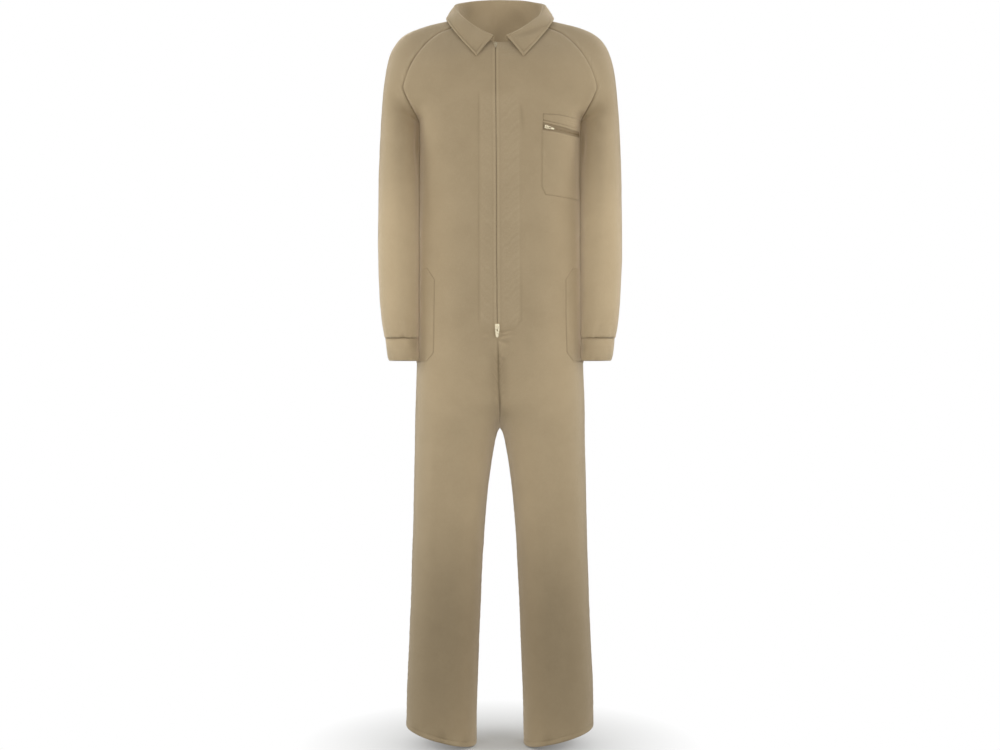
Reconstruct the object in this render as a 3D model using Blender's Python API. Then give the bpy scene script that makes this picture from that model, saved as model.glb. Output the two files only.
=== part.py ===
"""Boiler suit filled out with no wearer in it.

A one-piece work overall of cotton twill: raglan sleeves with band cuffs, shirt collar, full-length
two-way front zip, a zipped chest patch pocket and two hip patch pockets.  Metres, +Z up, the front
faces -Y and the wearer's left is +X.  The origin is in the middle of the neck, level with the top of
the shoulders, where the wearer holds the suit up.
"""

import math
from collections import namedtuple

import bmesh
import bpy
import numpy as np
from mathutils import Matrix, Vector

# ---------------------------------------------------------------- driving dimensions
WALL = 0.0015                # cloth
COLLAR_WALL = 0.0017         # two layers and their stiffening
SEAM_GAP = 0.0003
HEM_Z = -1.571               # middle of the hem ring, which slopes up to the outer side
HEM_SLOPE = 0.256            # rise of the hem per metre across the leg
HEM_SLOPE_REACH = 0.30       # height over which the slope fades
CROTCH_Z = -0.8954
LEG_TOP_Z = -0.800           # where a front or back is parted into its body node and its leg node
ARMPIT_ROW = 3
NECK_ROW = 13
ROW_PITCH = 0.06             # height of one row below the yoke
YOKE_Z = -0.40               # row 0, where the body's plain sections give way to the yoke
HIP_ROWS = 2.2               # rows above the crotch over which the columns even out
HEAD_ROW = 9.0               # row of the sleeve head by which they even out above the armpit

ZIP_GAP = 0.003              # between the fronts, over the zip
ZIP_END_Z = -0.700
ZIP_TAPE_WIDTH = 0.030
ZIP_TAPE_WALL = 0.0010
ZIP_TAPE_DROP = 0.0004       # clear space between the fronts and the tape under them
COLLAR_END_X = 0.0146        # the collar stops this far from the middle at the front

SHARP_ANGLE = 65             # degrees between faces above which an edge is shown sharp
BODY_COLUMNS = 9
SLEEVE_COLUMNS = 20

# Half sections of the trunk and the leg.  inner is how far the leg's ring reaches towards the other
# leg: below the crotch it is the inseam, above it the ring runs past the middle and is cut there.
Section = namedtuple("Section", "z outer inner side_y front_y back_y roundness")
SECTIONS = [
    Section(-1.600, 0.2064, 0.0522, 0.012, -0.0695, 0.0935, 2.15),
    Section(-1.500, 0.2052, 0.0512, 0.012, -0.0705, 0.0955, 2.15),
    Section(-1.400, 0.2012, 0.0478, 0.009, -0.0760, 0.0960, 2.17),
    Section(-1.300, 0.1968, 0.0436, 0.004, -0.0845, 0.0950, 2.20),
    Section(-1.186, 0.1928, 0.0385, 0.000, -0.0950, 0.0940, 2.22),
    Section(-1.100, 0.1903, 0.0330, 0.000, -0.1000, 0.1030, 2.25),
    Section(-1.020, 0.1888, 0.0258, 0.004, -0.1050, 0.1160, 2.28),
    Section(-0.970, 0.1880, 0.0190, 0.008, -0.1100, 0.1260, 2.30),
    Section(-0.940, 0.1874, 0.0138, 0.010, -0.1130, 0.1325, 2.32),
    Section(-0.915, 0.1870, 0.0086, 0.012, -0.1155, 0.1385, 2.34),
    Section(-0.902, 0.1869, 0.0042, 0.013, -0.1175, 0.1415, 2.36),
    Section(-0.8954, 0.1868, 0.0003, 0.014, -0.1190, 0.1430, 2.38),
    Section(-0.889, 0.1868, -0.0052, 0.015, -0.1203, 0.1445, 2.38),
    Section(-0.878, 0.1867, -0.0130, 0.016, -0.1220, 0.1465, 2.40),
    Section(-0.862, 0.1866, -0.0250, 0.018, -0.1240, 0.1495, 2.40),
    Section(-0.840, 0.1862, -0.0460, 0.020, -0.1260, 0.1530, 2.44),
    Section(-0.810, 0.1852, -0.0820, 0.023, -0.1285, 0.1555, 2.46),
    Section(-0.770, 0.1834, -0.1250, 0.026, -0.1305, 0.1565, 2.48),
    Section(-0.720, 0.1816, -0.1620, 0.029, -0.1315, 0.1555, 2.50),
    Section(-0.670, 0.1804, -0.1804, 0.030, -0.1320, 0.1515, 2.52),
    Section(-0.600, 0.1798, -0.1798, 0.030, -0.1310, 0.1440, 2.54),
    Section(-0.520, 0.1795, -0.1795, 0.030, -0.1300, 0.1375, 2.56),
    Section(-0.450, 0.1790, -0.1790, 0.030, -0.1315, 0.1375, 2.58),
    Section(-0.380, 0.1784, -0.1784, 0.027, -0.1340, 0.1420, 2.60),
    Section(-0.280, 0.1767, -0.1767, 0.014, -0.1350, 0.1495, 2.60),
]

# Yoke rows, from row 0 below the armpit (row 3) to the neckline (row 13).  A row runs from the centre
# line to the raglan seam; turn is its heading there in degrees, 0 outward and 90 towards the side's
# middle; lift is its climb.  The sleeve takes the row on from the seam with its own heading.
YokeRow = namedtuple("YokeRow", "z y seam_x seam_y seam_z turn lift reach seam_reach"
                                " sleeve_turn sleeve_reach over_reach")
FRONT_YOKE = [
    YokeRow(-0.400, -0.1330, 0.1786, 0.0280, -0.4000, 90, 0, 0.132, 0.118, -90, 0.111, 0.111),
    YokeRow(-0.340, -0.1345, 0.1778, 0.0230, -0.3400, 90, 0, 0.134, 0.118, -90, 0.111, 0.111),
    YokeRow(-0.280, -0.1350, 0.1767, 0.0140, -0.2800, 90, 0, 0.137, 0.116, -90, 0.111, 0.111),
    YokeRow(-0.229, -0.1340, 0.1756, -0.0080, -0.2290, 90, 0, 0.139, 0.108, -90, 0.111, 0.111),
    YokeRow(-0.213, -0.1330, 0.1776, -0.0500, -0.2244, 72, 0, 0.138, 0.072, -62, 0.060, 0.105),
    YokeRow(-0.197, -0.1312, 0.1899, -0.0780, -0.2036, 55, 1, 0.124, 0.045, -20, 0.035, 0.092),
    YokeRow(-0.181, -0.1287, 0.2019, -0.0920, -0.1805, 44, 3, 0.116, 0.042, 14, 0.024, 0.078),
    YokeRow(-0.167, -0.1261, 0.2071, -0.0955, -0.1640, 38, 6, 0.108, 0.046, 30, 0.020, 0.066),
    YokeRow(-0.149, -0.1222, 0.1997, -0.0950, -0.1361, 34, 10, 0.100, 0.050, 34, 0.022, 0.058),
    YokeRow(-0.131, -0.1175, 0.1872, -0.0890, -0.1070, 33, 14, 0.095, 0.050, 33, 0.024, 0.053),
    YokeRow(-0.116, -0.1125, 0.1748, -0.0820, -0.0860, 34, 17, 0.090, 0.048, 34, 0.025, 0.050),
    YokeRow(-0.101, -0.1060, 0.1603, -0.0730, -0.0668, 36, 20, 0.085, 0.045, 36, 0.026, 0.046),
    YokeRow(-0.084, -0.0960, 0.1351, -0.0570, -0.0415, 42, 25, 0.070, 0.038, 42, 0.024, 0.038),
    YokeRow(-0.063, -0.0750, 0.0905, -0.0360, -0.0180, 55, 35, 0.045, 0.030, 55, 0.014, 0.018),
]
BACK_YOKE = [
    YokeRow(-0.400, 0.1405, 0.1786, 0.0280, -0.4000, 90, 0, 0.130, 0.092, -90, 0.111, 0.111),
    YokeRow(-0.340, 0.1455, 0.1778, 0.0230, -0.3400, 90, 0, 0.130, 0.100, -90, 0.111, 0.111),
    YokeRow(-0.280, 0.1495, 0.1767, 0.0140, -0.2800, 90, 0, 0.130, 0.112, -90, 0.111, 0.111),
    YokeRow(-0.229, 0.1510, 0.1756, -0.0080, -0.2290, 90, 0, 0.130, 0.128, -90, 0.111, 0.111),
    YokeRow(-0.210, 0.1508, 0.1775, 0.0400, -0.2235, 72, 0, 0.132, 0.080, -62, 0.060, 0.105),
    YokeRow(-0.191, 0.1500, 0.1840, 0.0780, -0.2040, 52, 0, 0.120, 0.048, -20, 0.038, 0.100),
    YokeRow(-0.171, 0.1480, 0.1915, 0.1010, -0.1810, 40, 2, 0.112, 0.046, 14, 0.034, 0.094),
    YokeRow(-0.152, 0.1452, 0.1950, 0.1110, -0.1620, 34, 4, 0.105, 0.050, 28, 0.034, 0.086),
    YokeRow(-0.130, 0.1410, 0.1895, 0.1165, -0.1340, 29, 7, 0.100, 0.050, 29, 0.035, 0.078),
    YokeRow(-0.106, 0.1352, 0.1775, 0.1140, -0.1040, 28, 9, 0.095, 0.050, 28, 0.036, 0.070),
    YokeRow(-0.083, 0.1290, 0.1650, 0.1070, -0.0820, 30, 10, 0.090, 0.048, 30, 0.036, 0.064),
    YokeRow(-0.058, 0.1210, 0.1500, 0.0975, -0.0600, 33, 10, 0.085, 0.045, 33, 0.034, 0.056),
    YokeRow(-0.026, 0.1065, 0.1240, 0.0790, -0.0290, 40, 8, 0.070, 0.038, 40, 0.030, 0.042),
    YokeRow(0.024, 0.0780, 0.0830, 0.0420, 0.0120, 60, -14, 0.045, 0.028, 60, 0.016, 0.018),
]

# The outermost line of the sleeve head, for the same rows from the armpit up.
Overarm = namedtuple("Overarm", "row x y z")
OVERARM = [
    Overarm(3, 0.2604, -0.0080, -0.2290),
    Overarm(4, 0.2588, -0.0060, -0.2037),
    Overarm(5, 0.2570, -0.0045, -0.1768),
    Overarm(6, 0.2550, -0.0035, -0.1506),
    Overarm(7, 0.2522, -0.0030, -0.1290),
    Overarm(8, 0.2480, -0.0025, -0.1017),
    Overarm(9, 0.2410, -0.0020, -0.0765),
    Overarm(10, 0.2310, -0.0020, -0.0560),
    Overarm(11, 0.2140, -0.0020, -0.0355),
    Overarm(12, 0.1760, -0.0010, -0.0165),
    Overarm(13, 0.0965, 0.0020, 0.0030),
]

# The sleeve below the armpit: an upright tube, deeper than it is wide.
Tube = namedtuple("Tube", "z inner outer y depth")
SLEEVE = [
    Tube(-0.7005, 0.1754, 0.2486, -0.0580, 0.0455),
    Tube(-0.690, 0.1750, 0.2508, -0.0575, 0.0485),
    Tube(-0.665, 0.1744, 0.2552, -0.0565, 0.0525),
    Tube(-0.630, 0.1740, 0.2588, -0.0555, 0.0565),
    Tube(-0.590, 0.1738, 0.2610, -0.0540, 0.0605),
    Tube(-0.530, 0.1738, 0.2636, -0.0510, 0.0665),
    Tube(-0.450, 0.1740, 0.2640, -0.0455, 0.0730),
    Tube(-0.380, 0.1746, 0.2636, -0.0375, 0.0780),
    Tube(-0.310, 0.1757, 0.2630, -0.0260, 0.0815),
    Tube(-0.260, 0.1761, 0.2618, -0.0145, 0.0830),
    Tube(-0.229, 0.1759, 0.2604, -0.0080, 0.0832),
]
CUFF = [
    Tube(-0.7484, 0.1750, 0.2382, -0.0585, 0.0385),
    Tube(-0.7440, 0.1746, 0.2410, -0.0585, 0.0392),
    Tube(-0.7250, 0.1748, 0.2450, -0.0585, 0.0408),
    Tube(-0.7009, 0.1752, 0.2476, -0.0580, 0.0425),
]

# The collar, from the middle of the back (share 0 of the half neckline) to its front end (share 1):
# the fold along its top and the edge of the leaf that falls from it.
CollarStation = namedtuple("CollarStation", "share fold_x fold_y fold_z leaf_x leaf_y leaf_z")
COLLAR = [
    CollarStation(0.00, 0.0000, 0.0800, 0.0650, 0.0000, 0.1040, 0.0160),
    CollarStation(0.16, 0.0439, 0.0735, 0.0621, 0.0520, 0.0960, 0.0130),
    CollarStation(0.32, 0.0771, 0.0530, 0.0528, 0.0960, 0.0690, 0.0080),
    CollarStation(0.47, 0.0980, 0.0140, 0.0365, 0.1175, 0.0090, 0.0060),
    CollarStation(0.545, 0.0945, -0.0055, 0.0226, 0.1168, -0.0170, -0.0025),
    CollarStation(0.62, 0.0884, -0.0250, 0.0081, 0.1080, -0.0470, -0.0215),
    CollarStation(0.76, 0.0682, -0.0520, -0.0148, 0.0820, -0.0790, -0.0600),
    CollarStation(0.88, 0.0420, -0.0700, -0.0364, 0.0650, -0.0960, -0.0820),
    CollarStation(1.00, 0.0146, -0.0780, -0.0512, 0.0496, -0.1080, -0.1011),
]
FOLD_RADIUS = 0.0028

# The line where the fronts meet: the zip runs a little to the wearer's right of the middle.
FrontLine = namedtuple("FrontLine", "z x gap")
FRONT_LINE = [
    FrontLine(-0.860, 0.0000, SEAM_GAP),
    FrontLine(-0.780, -0.0030, SEAM_GAP),
    FrontLine(-0.720, -0.0046, SEAM_GAP),
    FrontLine(-0.700, -0.0052, ZIP_GAP),
    FrontLine(-0.600, -0.0064, ZIP_GAP),
    FrontLine(-0.240, -0.0085, ZIP_GAP),
    FrontLine(-0.060, -0.0097, ZIP_GAP),
]

# Pocket outlines in front view, corner by corner.
CHEST_POCKET_TOP = [(0.0890, -0.2259), (0.1216, -0.2259), (0.1536, -0.2315), (0.1712, -0.2355),
                    (0.1712, -0.2585), (0.1536, -0.2545), (0.1216, -0.2485), (0.0940, -0.2440)]
CHEST_POCKET = [(0.0880, -0.2595), (0.1216, -0.2635), (0.1536, -0.2690), (0.1712, -0.2718),
                (0.1700, -0.4036), (0.0962, -0.3972), (0.0878, -0.3813)]
CHEST_ZIP_TAPE = [(0.0905, -0.2445), (0.1216, -0.2490), (0.1536, -0.2550), (0.1708, -0.2590),
                  (0.1708, -0.2712), (0.1536, -0.2685), (0.1216, -0.2630), (0.0905, -0.2594)]
HIP_POCKET = [(0.1400, -0.5750), (0.1560, -0.5490), (0.2100, -0.5590), (0.2100, -0.7560),
              (0.1565, -0.7500), (0.1400, -0.7320)]

CLOTH_COLOUR = (0.397, 0.305, 0.188, 1.0)
BRASS_COLOUR = (0.62, 0.52, 0.33, 1.0)
TAPE_COLOUR = (0.36, 0.27, 0.165, 1.0)


# ---------------------------------------------------------------- smooth curves through the tables
def slopes(keys, values):
    """Slopes that keep the curve between its table values."""
    steps = np.diff(keys)
    rates = np.diff(values) / steps
    result = np.empty_like(values)
    result[0] = rates[0]
    result[-1] = rates[-1]
    for i in range(1, len(values) - 1):
        before, after = rates[i - 1], rates[i]
        if before * after <= 0.0:
            result[i] = 0.0
            continue
        near = 2.0 * steps[i] + steps[i - 1]
        far = steps[i] + 2.0 * steps[i - 1]
        result[i] = (near + far) / (near / before + far / after)
    return result


class SmoothTable:
    """Reads a table of named columns between its rows; key is the column it is read by.

    The forked columns may turn sharply at row fork, where a seam divides.
    """

    def __init__(self, rows, key=None, fork=0, forked=()):
        self.kind = type(rows[0])
        self.values = np.array(rows, dtype=float)
        if key is None:
            self.keys = np.arange(len(rows), dtype=float)
        else:
            self.keys = self.values[:, self.kind._fields.index(key)]
        columns = range(self.values.shape[1])
        self.leaving = np.stack([slopes(self.keys, self.values[:, c]) for c in columns], axis=1)
        self.arriving = self.leaving.copy()
        for c in (self.kind._fields.index(name) for name in forked):
            below = slopes(self.keys[: fork + 1], self.values[: fork + 1, c])
            above = slopes(self.keys[fork:], self.values[fork:, c])
            self.leaving[:, c] = np.concatenate([below[:-1], above])
            self.arriving[:, c] = np.concatenate([below, above[1:]])

    def at(self, key):
        key = min(max(key, self.keys[0]), self.keys[-1])
        i = min(max(int(np.searchsorted(self.keys, key)) - 1, 0), len(self.keys) - 2)
        step = self.keys[i + 1] - self.keys[i]
        t = (key - self.keys[i]) / step
        here, there = self.values[i], self.values[i + 1]
        start = (1.0 + 2.0 * t) * (1.0 - t) ** 2 * here + t * (1.0 - t) ** 2 * step * self.leaving[i]
        stop = t * t * (3.0 - 2.0 * t) * there - t * t * (1.0 - t) * step * self.arriving[i + 1]
        return self.kind(*(start + stop))


sections = SmoothTable(SECTIONS, "z")
SEAM_COLUMNS = ("seam_x", "seam_y", "seam_z", "turn", "seam_reach", "sleeve_turn", "sleeve_reach")
front_yoke = SmoothTable(FRONT_YOKE, fork=ARMPIT_ROW, forked=SEAM_COLUMNS)
back_yoke = SmoothTable(BACK_YOKE, fork=ARMPIT_ROW, forked=SEAM_COLUMNS)
overarm = SmoothTable(OVERARM, "row")
sleeve_tube = SmoothTable(SLEEVE, "z")
cuff_tube = SmoothTable(CUFF, "z")
collar_stations = SmoothTable(COLLAR, "share")
front_line = SmoothTable(FRONT_LINE, "z")


def ease(value, start, stop):
    t = min(max((value - start) / (stop - start), 0.0), 1.0)
    return t * t * (3.0 - 2.0 * t)


def bezier(p0, p1, p2, p3, count=48):
    t = np.linspace(0.0, 1.0, count)[:, None]
    p0, p1, p2, p3 = (np.asarray(p, dtype=float) for p in (p0, p1, p2, p3))
    return (1 - t) ** 3 * p0 + 3 * t * (1 - t) ** 2 * p1 + 3 * t * t * (1 - t) * p2 + t ** 3 * p3


def lengths_along(line):
    steps = np.linalg.norm(np.diff(line, axis=0), axis=1)
    return np.concatenate([[0.0], np.cumsum(steps)])


def points_along(line, distances):
    run = lengths_along(line)
    return np.stack([np.interp(distances, run, line[:, axis]) for axis in range(3)], axis=1)


def evened(line, count):
    return points_along(line, np.linspace(0.0, lengths_along(line)[-1], count))


# ---------------------------------------------------------------- the suit's surface, wearer's left half
def row_height(row):
    """Height of a row on the centre line of the trunk, below the yoke."""
    return YOKE_Z + ROW_PITCH * row


def row_of(z):
    return (z - YOKE_Z) / ROW_PITCH


def section_line(z, back):
    """The half section at height z, from the centre line or the inseam to the side seam."""
    s = sections.at(z)
    middle = 0.5 * (s.outer + s.inner)
    half = 0.5 * (s.outer - s.inner)
    start = math.pi
    if s.inner < 0.0:
        past_middle = min(max(middle / half, 0.0), 1.0)
        start = math.acos(-(past_middle ** (s.roundness / 2.0)))
    angle = np.linspace(start, 0.0, 72)
    power = 2.0 / s.roundness
    x = middle + half * np.sign(np.cos(angle)) * np.abs(np.cos(angle)) ** power
    depth = (s.back_y if back else s.front_y) - s.side_y
    y = s.side_y + depth * np.abs(np.sin(angle)) ** power
    slope = HEM_SLOPE * (1.0 - ease(z, HEM_Z, HEM_Z + HEM_SLOPE_REACH))
    return np.stack([x, y, z + slope * (x - middle)], axis=1)


def heading(turn, lift, towards_back):
    turn, lift = math.radians(turn), math.radians(lift)
    flat = math.cos(lift)
    return np.array([math.cos(turn) * flat, towards_back * math.sin(turn) * flat, math.sin(lift)])


def yoke_line(row, back):
    """A yoke row, from the centre line to the side seam or the raglan seam."""
    y = (back_yoke if back else front_yoke).at(row)
    inwards = -1.0 if back else 1.0
    centre = np.array([0.0, y.y, y.z])
    seam = np.array([y.seam_x, y.seam_y, y.seam_z])
    arrive = heading(y.turn, y.lift, inwards)
    return bezier(centre, centre + (y.reach, 0.0, 0.0), seam - y.seam_reach * arrive, seam)


def body_line(row, back):
    if row <= 0.0:
        return evened(section_line(row_height(row), back), 60)
    share = ease(row, 0.0, 2.0)
    yoke = evened(yoke_line(row, back), 60)
    if share >= 1.0:
        return yoke
    return (1.0 - share) * evened(section_line(row_height(row), back), 60) + share * yoke


def spread(shares, length, full_length):
    """Distances for shares of a line that is cut shorter than full_length at its far end.

    The near part keeps the pitch of the full line and the far part takes up what is missing.
    """
    shares = np.asarray(shares)
    pitch = min(full_length, 1.5 * length)
    missing = max(1.0 - length / pitch, 1e-6)
    return pitch * (shares - missing * shares ** min(0.75 / missing, 12.0))


def panel_span(row, back, side):
    """A panel's row line with the distances along it of the centre edge and the outer edge."""
    line = body_line(row, back)
    stop = lengths_along(line)[-1] - SEAM_GAP / 2
    if row_height(row) <= CROTCH_Z:
        return line, SEAM_GAP / 2, stop
    edge = SEAM_GAP / 2
    if not back:
        split = front_line.at(line[0, 2])
        edge = side * split.x + split.gap / 2
    line = np.concatenate([[line[0] - (0.03, 0.0, 0.0)], line])
    run = lengths_along(line)
    near = int(np.argmax(line[:, 0] > 0.03)) + 1
    return line, np.interp(edge, line[:near, 0], run[:near]), run[-1] - SEAM_GAP / 2


def panel_length(row, back, side):
    line, start, stop = panel_span(row, back, side)
    return stop - start


FORK_LENGTH = {}


def fork_length(name, row, back, side):
    """Length of a panel's row at the crotch or at the armpit, kept because each row asks for it."""
    if (name, back, side) not in FORK_LENGTH:
        FORK_LENGTH[name, back, side] = panel_length(row, back, side)
    return FORK_LENGTH[name, back, side]


def body_points(row, back, side, shares):
    """Points of a front or back panel on a row; share 0 is its centre edge and 1 its outer edge."""
    line, start, stop = panel_span(row, back, side)
    length = stop - start
    shares = np.asarray(shares)
    crotch_row = row_of(CROTCH_Z)
    if row <= crotch_row + HIP_ROWS:
        fork = fork_length("crotch", crotch_row, back, side)
        full = fork + (length - fork) * ease(row, crotch_row, crotch_row + HIP_ROWS)
        if row <= crotch_row:
            full = length
        return points_along(line, stop - spread(1.0 - shares, length, full))
    if row > ARMPIT_ROW:
        fork = fork_length("armpit", ARMPIT_ROW, back, side)
        full = fork + (length - fork) * ease(row, ARMPIT_ROW, HEAD_ROW)
        return points_along(line, start + spread(shares, length, full))
    return points_along(line, start + shares * length)


def over_the_arm(front, rear, shares, full_lengths=None):
    """Points on a sleeve ring given as two lines: share 0 at the start of front, 0.5 over the arm."""
    shares = np.asarray(shares)
    from_over = np.abs(2.0 * shares - 1.0)
    result = np.empty((len(shares), 3))
    for line, chosen, index in ((front[::-1], shares <= 0.5, 0), (rear, shares > 0.5, 1)):
        length = lengths_along(line)[-1]
        full = full_lengths[index] if full_lengths else length
        result[chosen] = points_along(line, spread(from_over[chosen], length, full))
    return result


def tube_lines(tube):
    """The front and the rear half of a ring of the sleeve or the cuff, from its inner side round."""
    inner, outer = np.array([tube.inner, tube.y, tube.z]), np.array([tube.outer, tube.y, tube.z])
    ahead = np.array([0.0, -tube.depth / 0.75, 0.0])
    front = bezier(inner, inner + ahead, outer + ahead, outer)
    return front, bezier(outer, outer - ahead, inner - ahead, inner)


def tube_points(tube, shares):
    front, rear = tube_lines(tube)
    return over_the_arm(front, rear, shares)


def sleeve_points(row, shares):
    """A sleeve ring from the underarm or the front seam, over the arm, to the back seam."""
    if row <= ARMPIT_ROW:
        return tube_points(sleeve_tube.at(sleeve_height(row)), shares)
    f, b, o = front_yoke.at(row), back_yoke.at(row), overarm.at(row)
    over = np.array([o.x, o.y, o.z])
    front_seam = np.array([f.seam_x + SEAM_GAP, f.seam_y, f.seam_z])
    back_seam = np.array([b.seam_x + SEAM_GAP, b.seam_y, b.seam_z])
    front = bezier(front_seam, front_seam + f.sleeve_reach * heading(f.sleeve_turn, f.lift, 1.0),
                   over - (0.0, f.over_reach, 0.0), over)
    rear = bezier(over, over + (0.0, b.over_reach, 0.0),
                  back_seam + b.sleeve_reach * heading(b.sleeve_turn, b.lift, -1.0), back_seam)
    ring_half = lengths_along(tube_lines(sleeve_tube.at(OVERARM[0].z))[0])[-1]
    share = ease(row, ARMPIT_ROW, HEAD_ROW)
    full_lengths = [ring_half + (lengths_along(line)[-1] - ring_half) * share for line in (front, rear)]
    return over_the_arm(front, rear, shares, full_lengths)


def sleeve_height(row):
    return OVERARM[0].z + ROW_PITCH * (row - ARMPIT_ROW)


def sleeve_row(z):
    return ARMPIT_ROW + (z - OVERARM[0].z) / ROW_PITCH


def surface_grid(points_on_row, rows, shares, first_row, last_row, closed_to=None):
    """Points and outward normals of a surface at rows x shares.

    closed_to is the last row that is a closed ring, where share 0 and share 1 are one point.
    """
    row_step, share_step = 0.02, 0.004
    points = np.stack([points_on_row(row, shares) for row in rows])
    above = np.stack([points_on_row(min(row + row_step, last_row), shares) for row in rows])
    below = np.stack([points_on_row(max(row - row_step, first_row), shares) for row in rows])
    right = np.stack([points_on_row(row, np.minimum(shares + share_step, 1.0)) for row in rows])
    left = np.stack([points_on_row(row, np.maximum(shares - share_step, 0.0)) for row in rows])
    normals = np.cross(right - left, above - below)
    normals /= np.linalg.norm(normals, axis=2)[:, :, None]
    if closed_to is not None:
        for i, row in enumerate(rows):
            if row <= closed_to + 1e-9:
                joint = normals[i, 0] + normals[i, -1]
                normals[i, 0] = normals[i, -1] = joint / np.linalg.norm(joint)
    return points, normals


# ---------------------------------------------------------------- making objects
suit_collection = bpy.data.collections.new("boiler_suit")
cutter_collection = bpy.data.collections.new("cutters")
MATERIALS = {}


def material(name, colour, roughness, metallic=0.0):
    if name not in MATERIALS:
        made = bpy.data.materials.new(name)
        made.use_nodes = True
        shader = made.node_tree.nodes["Principled BSDF"]
        shader.inputs["Base Color"].default_value = colour
        shader.inputs["Roughness"].default_value = roughness
        shader.inputs["Metallic"].default_value = metallic
        MATERIALS[name] = made
    return MATERIALS[name]


def cloth():
    return material("twill", CLOTH_COLOUR, 0.9)


def brass():
    return material("brass", BRASS_COLOUR, 0.3, 1.0)


def tape():
    return material("zip_tape", TAPE_COLOUR, 0.85)


def add_object(name, mesh, finish, collection=None):
    obj = bpy.data.objects.new(name, mesh)
    mesh.materials.append(finish)
    (collection or suit_collection).objects.link(obj)
    return obj


def mesh_from(name, bm):
    mesh = bpy.data.meshes.new(name)
    bm.normal_update()
    bm.to_mesh(mesh)
    bm.free()
    mesh.shade_smooth()
    mesh.set_sharp_from_angle(angle=math.radians(SHARP_ANGLE))
    return mesh


def wall_mesh(name, outer, inner, flip=False, welded_rows=0):
    """A closed wall between two grids of points (rows x columns x 3), with outer facing out.

    In the first welded_rows rows the last column is the first one, which makes them rings.
    """
    rows, columns = outer.shape[:2]
    bm = bmesh.new()

    def sheet(grid):
        lines = []
        for i, line in enumerate(grid):
            welded = i < welded_rows
            corners = [bm.verts.new(point) for point in (line[:-1] if welded else line)]
            lines.append(corners + corners[:1] if welded else corners)
        return lines

    outside, inside = sheet(outer), sheet(inner)
    partner = {}
    for out_line, in_line in zip(outside, inside):
        partner.update(zip(out_line, in_line))
    triangles = []
    for i in range(rows - 1):
        for j in range(columns - 1):
            a, b = outside[i][j], outside[i][j + 1]
            c, d = outside[i + 1][j + 1], outside[i + 1][j]
            for corners in ((a, b, c), (a, c, d)):
                if len(set(corners)) == 3:
                    triangles.append(corners[::-1] if flip else corners)
    for corners in triangles:
        bm.faces.new(corners)
    rim = []
    for edge in bm.edges:
        if edge.is_boundary:
            loop = edge.link_loops[0]
            rim.append((loop.vert, loop.link_loop_next.vert))
    for corners in triangles:
        bm.faces.new([partner[v] for v in reversed(corners)])
    for a, b in rim:
        bm.faces.new((b, a, partner[a], partner[b]))
    return mesh_from(name, bm)


def mirrored(points, side):
    return points * (side, 1.0, 1.0)


# ---------------------------------------------------------------- rows and columns of the cloth
def height_rows(*stretches):
    """Rows at even heights in each stretch, given as (lowest, highest, number of steps)."""
    heights = [stretches[0][0]]
    for low, high, steps in stretches:
        heights += list(np.linspace(low, high, steps + 1)[1:])
    return [row_of(z) for z in heights]


CROTCH_HEIGHTS = [-0.8930, -0.8880, -0.8805, -0.8700, -0.8560, -0.8370, -0.8170, -0.7700, -0.7400]
LEG_ROWS = height_rows((HEM_Z, -1.48, 2), (-1.48, -0.98, 7), (-0.98, -0.92, 2), (-0.92, CROTCH_Z, 2))
HIP_TO_YOKE_ROWS = [row_of(z) for z in CROTCH_HEIGHTS] + height_rows((ZIP_END_Z, YOKE_Z, 5))
TRUNK_ROWS = [1.2, 2.2, 3.0]
YOKE_ROWS = [3.25, 3.5, 3.75, 4.0, 4.5, 5.0, 5.5, 6.0, 7.0, 8.0, 9.0, 10.0, 11.0, 12.0, 12.5, NECK_ROW]
BODY_ROWS = LEG_ROWS + HIP_TO_YOKE_ROWS + TRUNK_ROWS + YOKE_ROWS
LEG_NODE_END = row_of(LEG_TOP_Z - SEAM_GAP / 2)
BODY_NODE_START = row_of(LEG_TOP_Z + SEAM_GAP / 2)
LEG_NODE_ROWS = [row for row in BODY_ROWS if row < LEG_NODE_END] + [LEG_NODE_END]
BODY_NODE_ROWS = [BODY_NODE_START] + [row for row in BODY_ROWS if row > BODY_NODE_START]
SLEEVE_HEIGHTS = [SLEEVE[0].z, -0.688, -0.660, -0.61, -0.55, -0.48, -0.41, -0.34, -0.28, -0.25]
BODY_SHARES = np.linspace(0.0, 1.0, BODY_COLUMNS + 1)


def body_grid(back, side, rows):
    """A front or back panel's outer points and outward normals."""
    def on_row(row, at):
        return body_points(row, back, side, at)

    points, normals = surface_grid(on_row, rows, BODY_SHARES, row_of(HEM_Z), NECK_ROW)
    if back:
        normals = -normals
    return mirrored(points, side), mirrored(normals, side)


def body_panel(name, back, side, rows):
    points, normals = body_grid(back, side, rows)
    flip = back == (side > 0)
    return add_object(name, wall_mesh(name, points, points - WALL * normals, flip=flip), cloth())


def sleeve(name, side):
    rows = [sleeve_row(z) for z in SLEEVE_HEIGHTS] + [ARMPIT_ROW] + YOKE_ROWS
    shares = np.linspace(0.0, 1.0, SLEEVE_COLUMNS + 1)
    points, normals = surface_grid(sleeve_points, rows, shares, rows[0], NECK_ROW, ARMPIT_ROW)
    points, normals = mirrored(points, side), mirrored(normals, side)
    ring_rows = sum(row <= ARMPIT_ROW for row in rows)
    mesh = wall_mesh(name, points, points - WALL * normals, flip=side < 0, welded_rows=ring_rows)
    return add_object(name, mesh, cloth())


def cuff(name, side):
    heights = [tube.z for tube in CUFF]
    shares = np.linspace(0.0, 1.0, SLEEVE_COLUMNS + 1)

    def on_row(z, at):
        return tube_points(cuff_tube.at(z), at)

    points, normals = surface_grid(on_row, heights, shares, heights[0], heights[-1], heights[-1])
    points, normals = mirrored(points, side), mirrored(normals, side)
    mesh = wall_mesh(name, points, points - WALL * normals, flip=side < 0, welded_rows=len(heights))
    return add_object(name, mesh, cloth())


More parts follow.
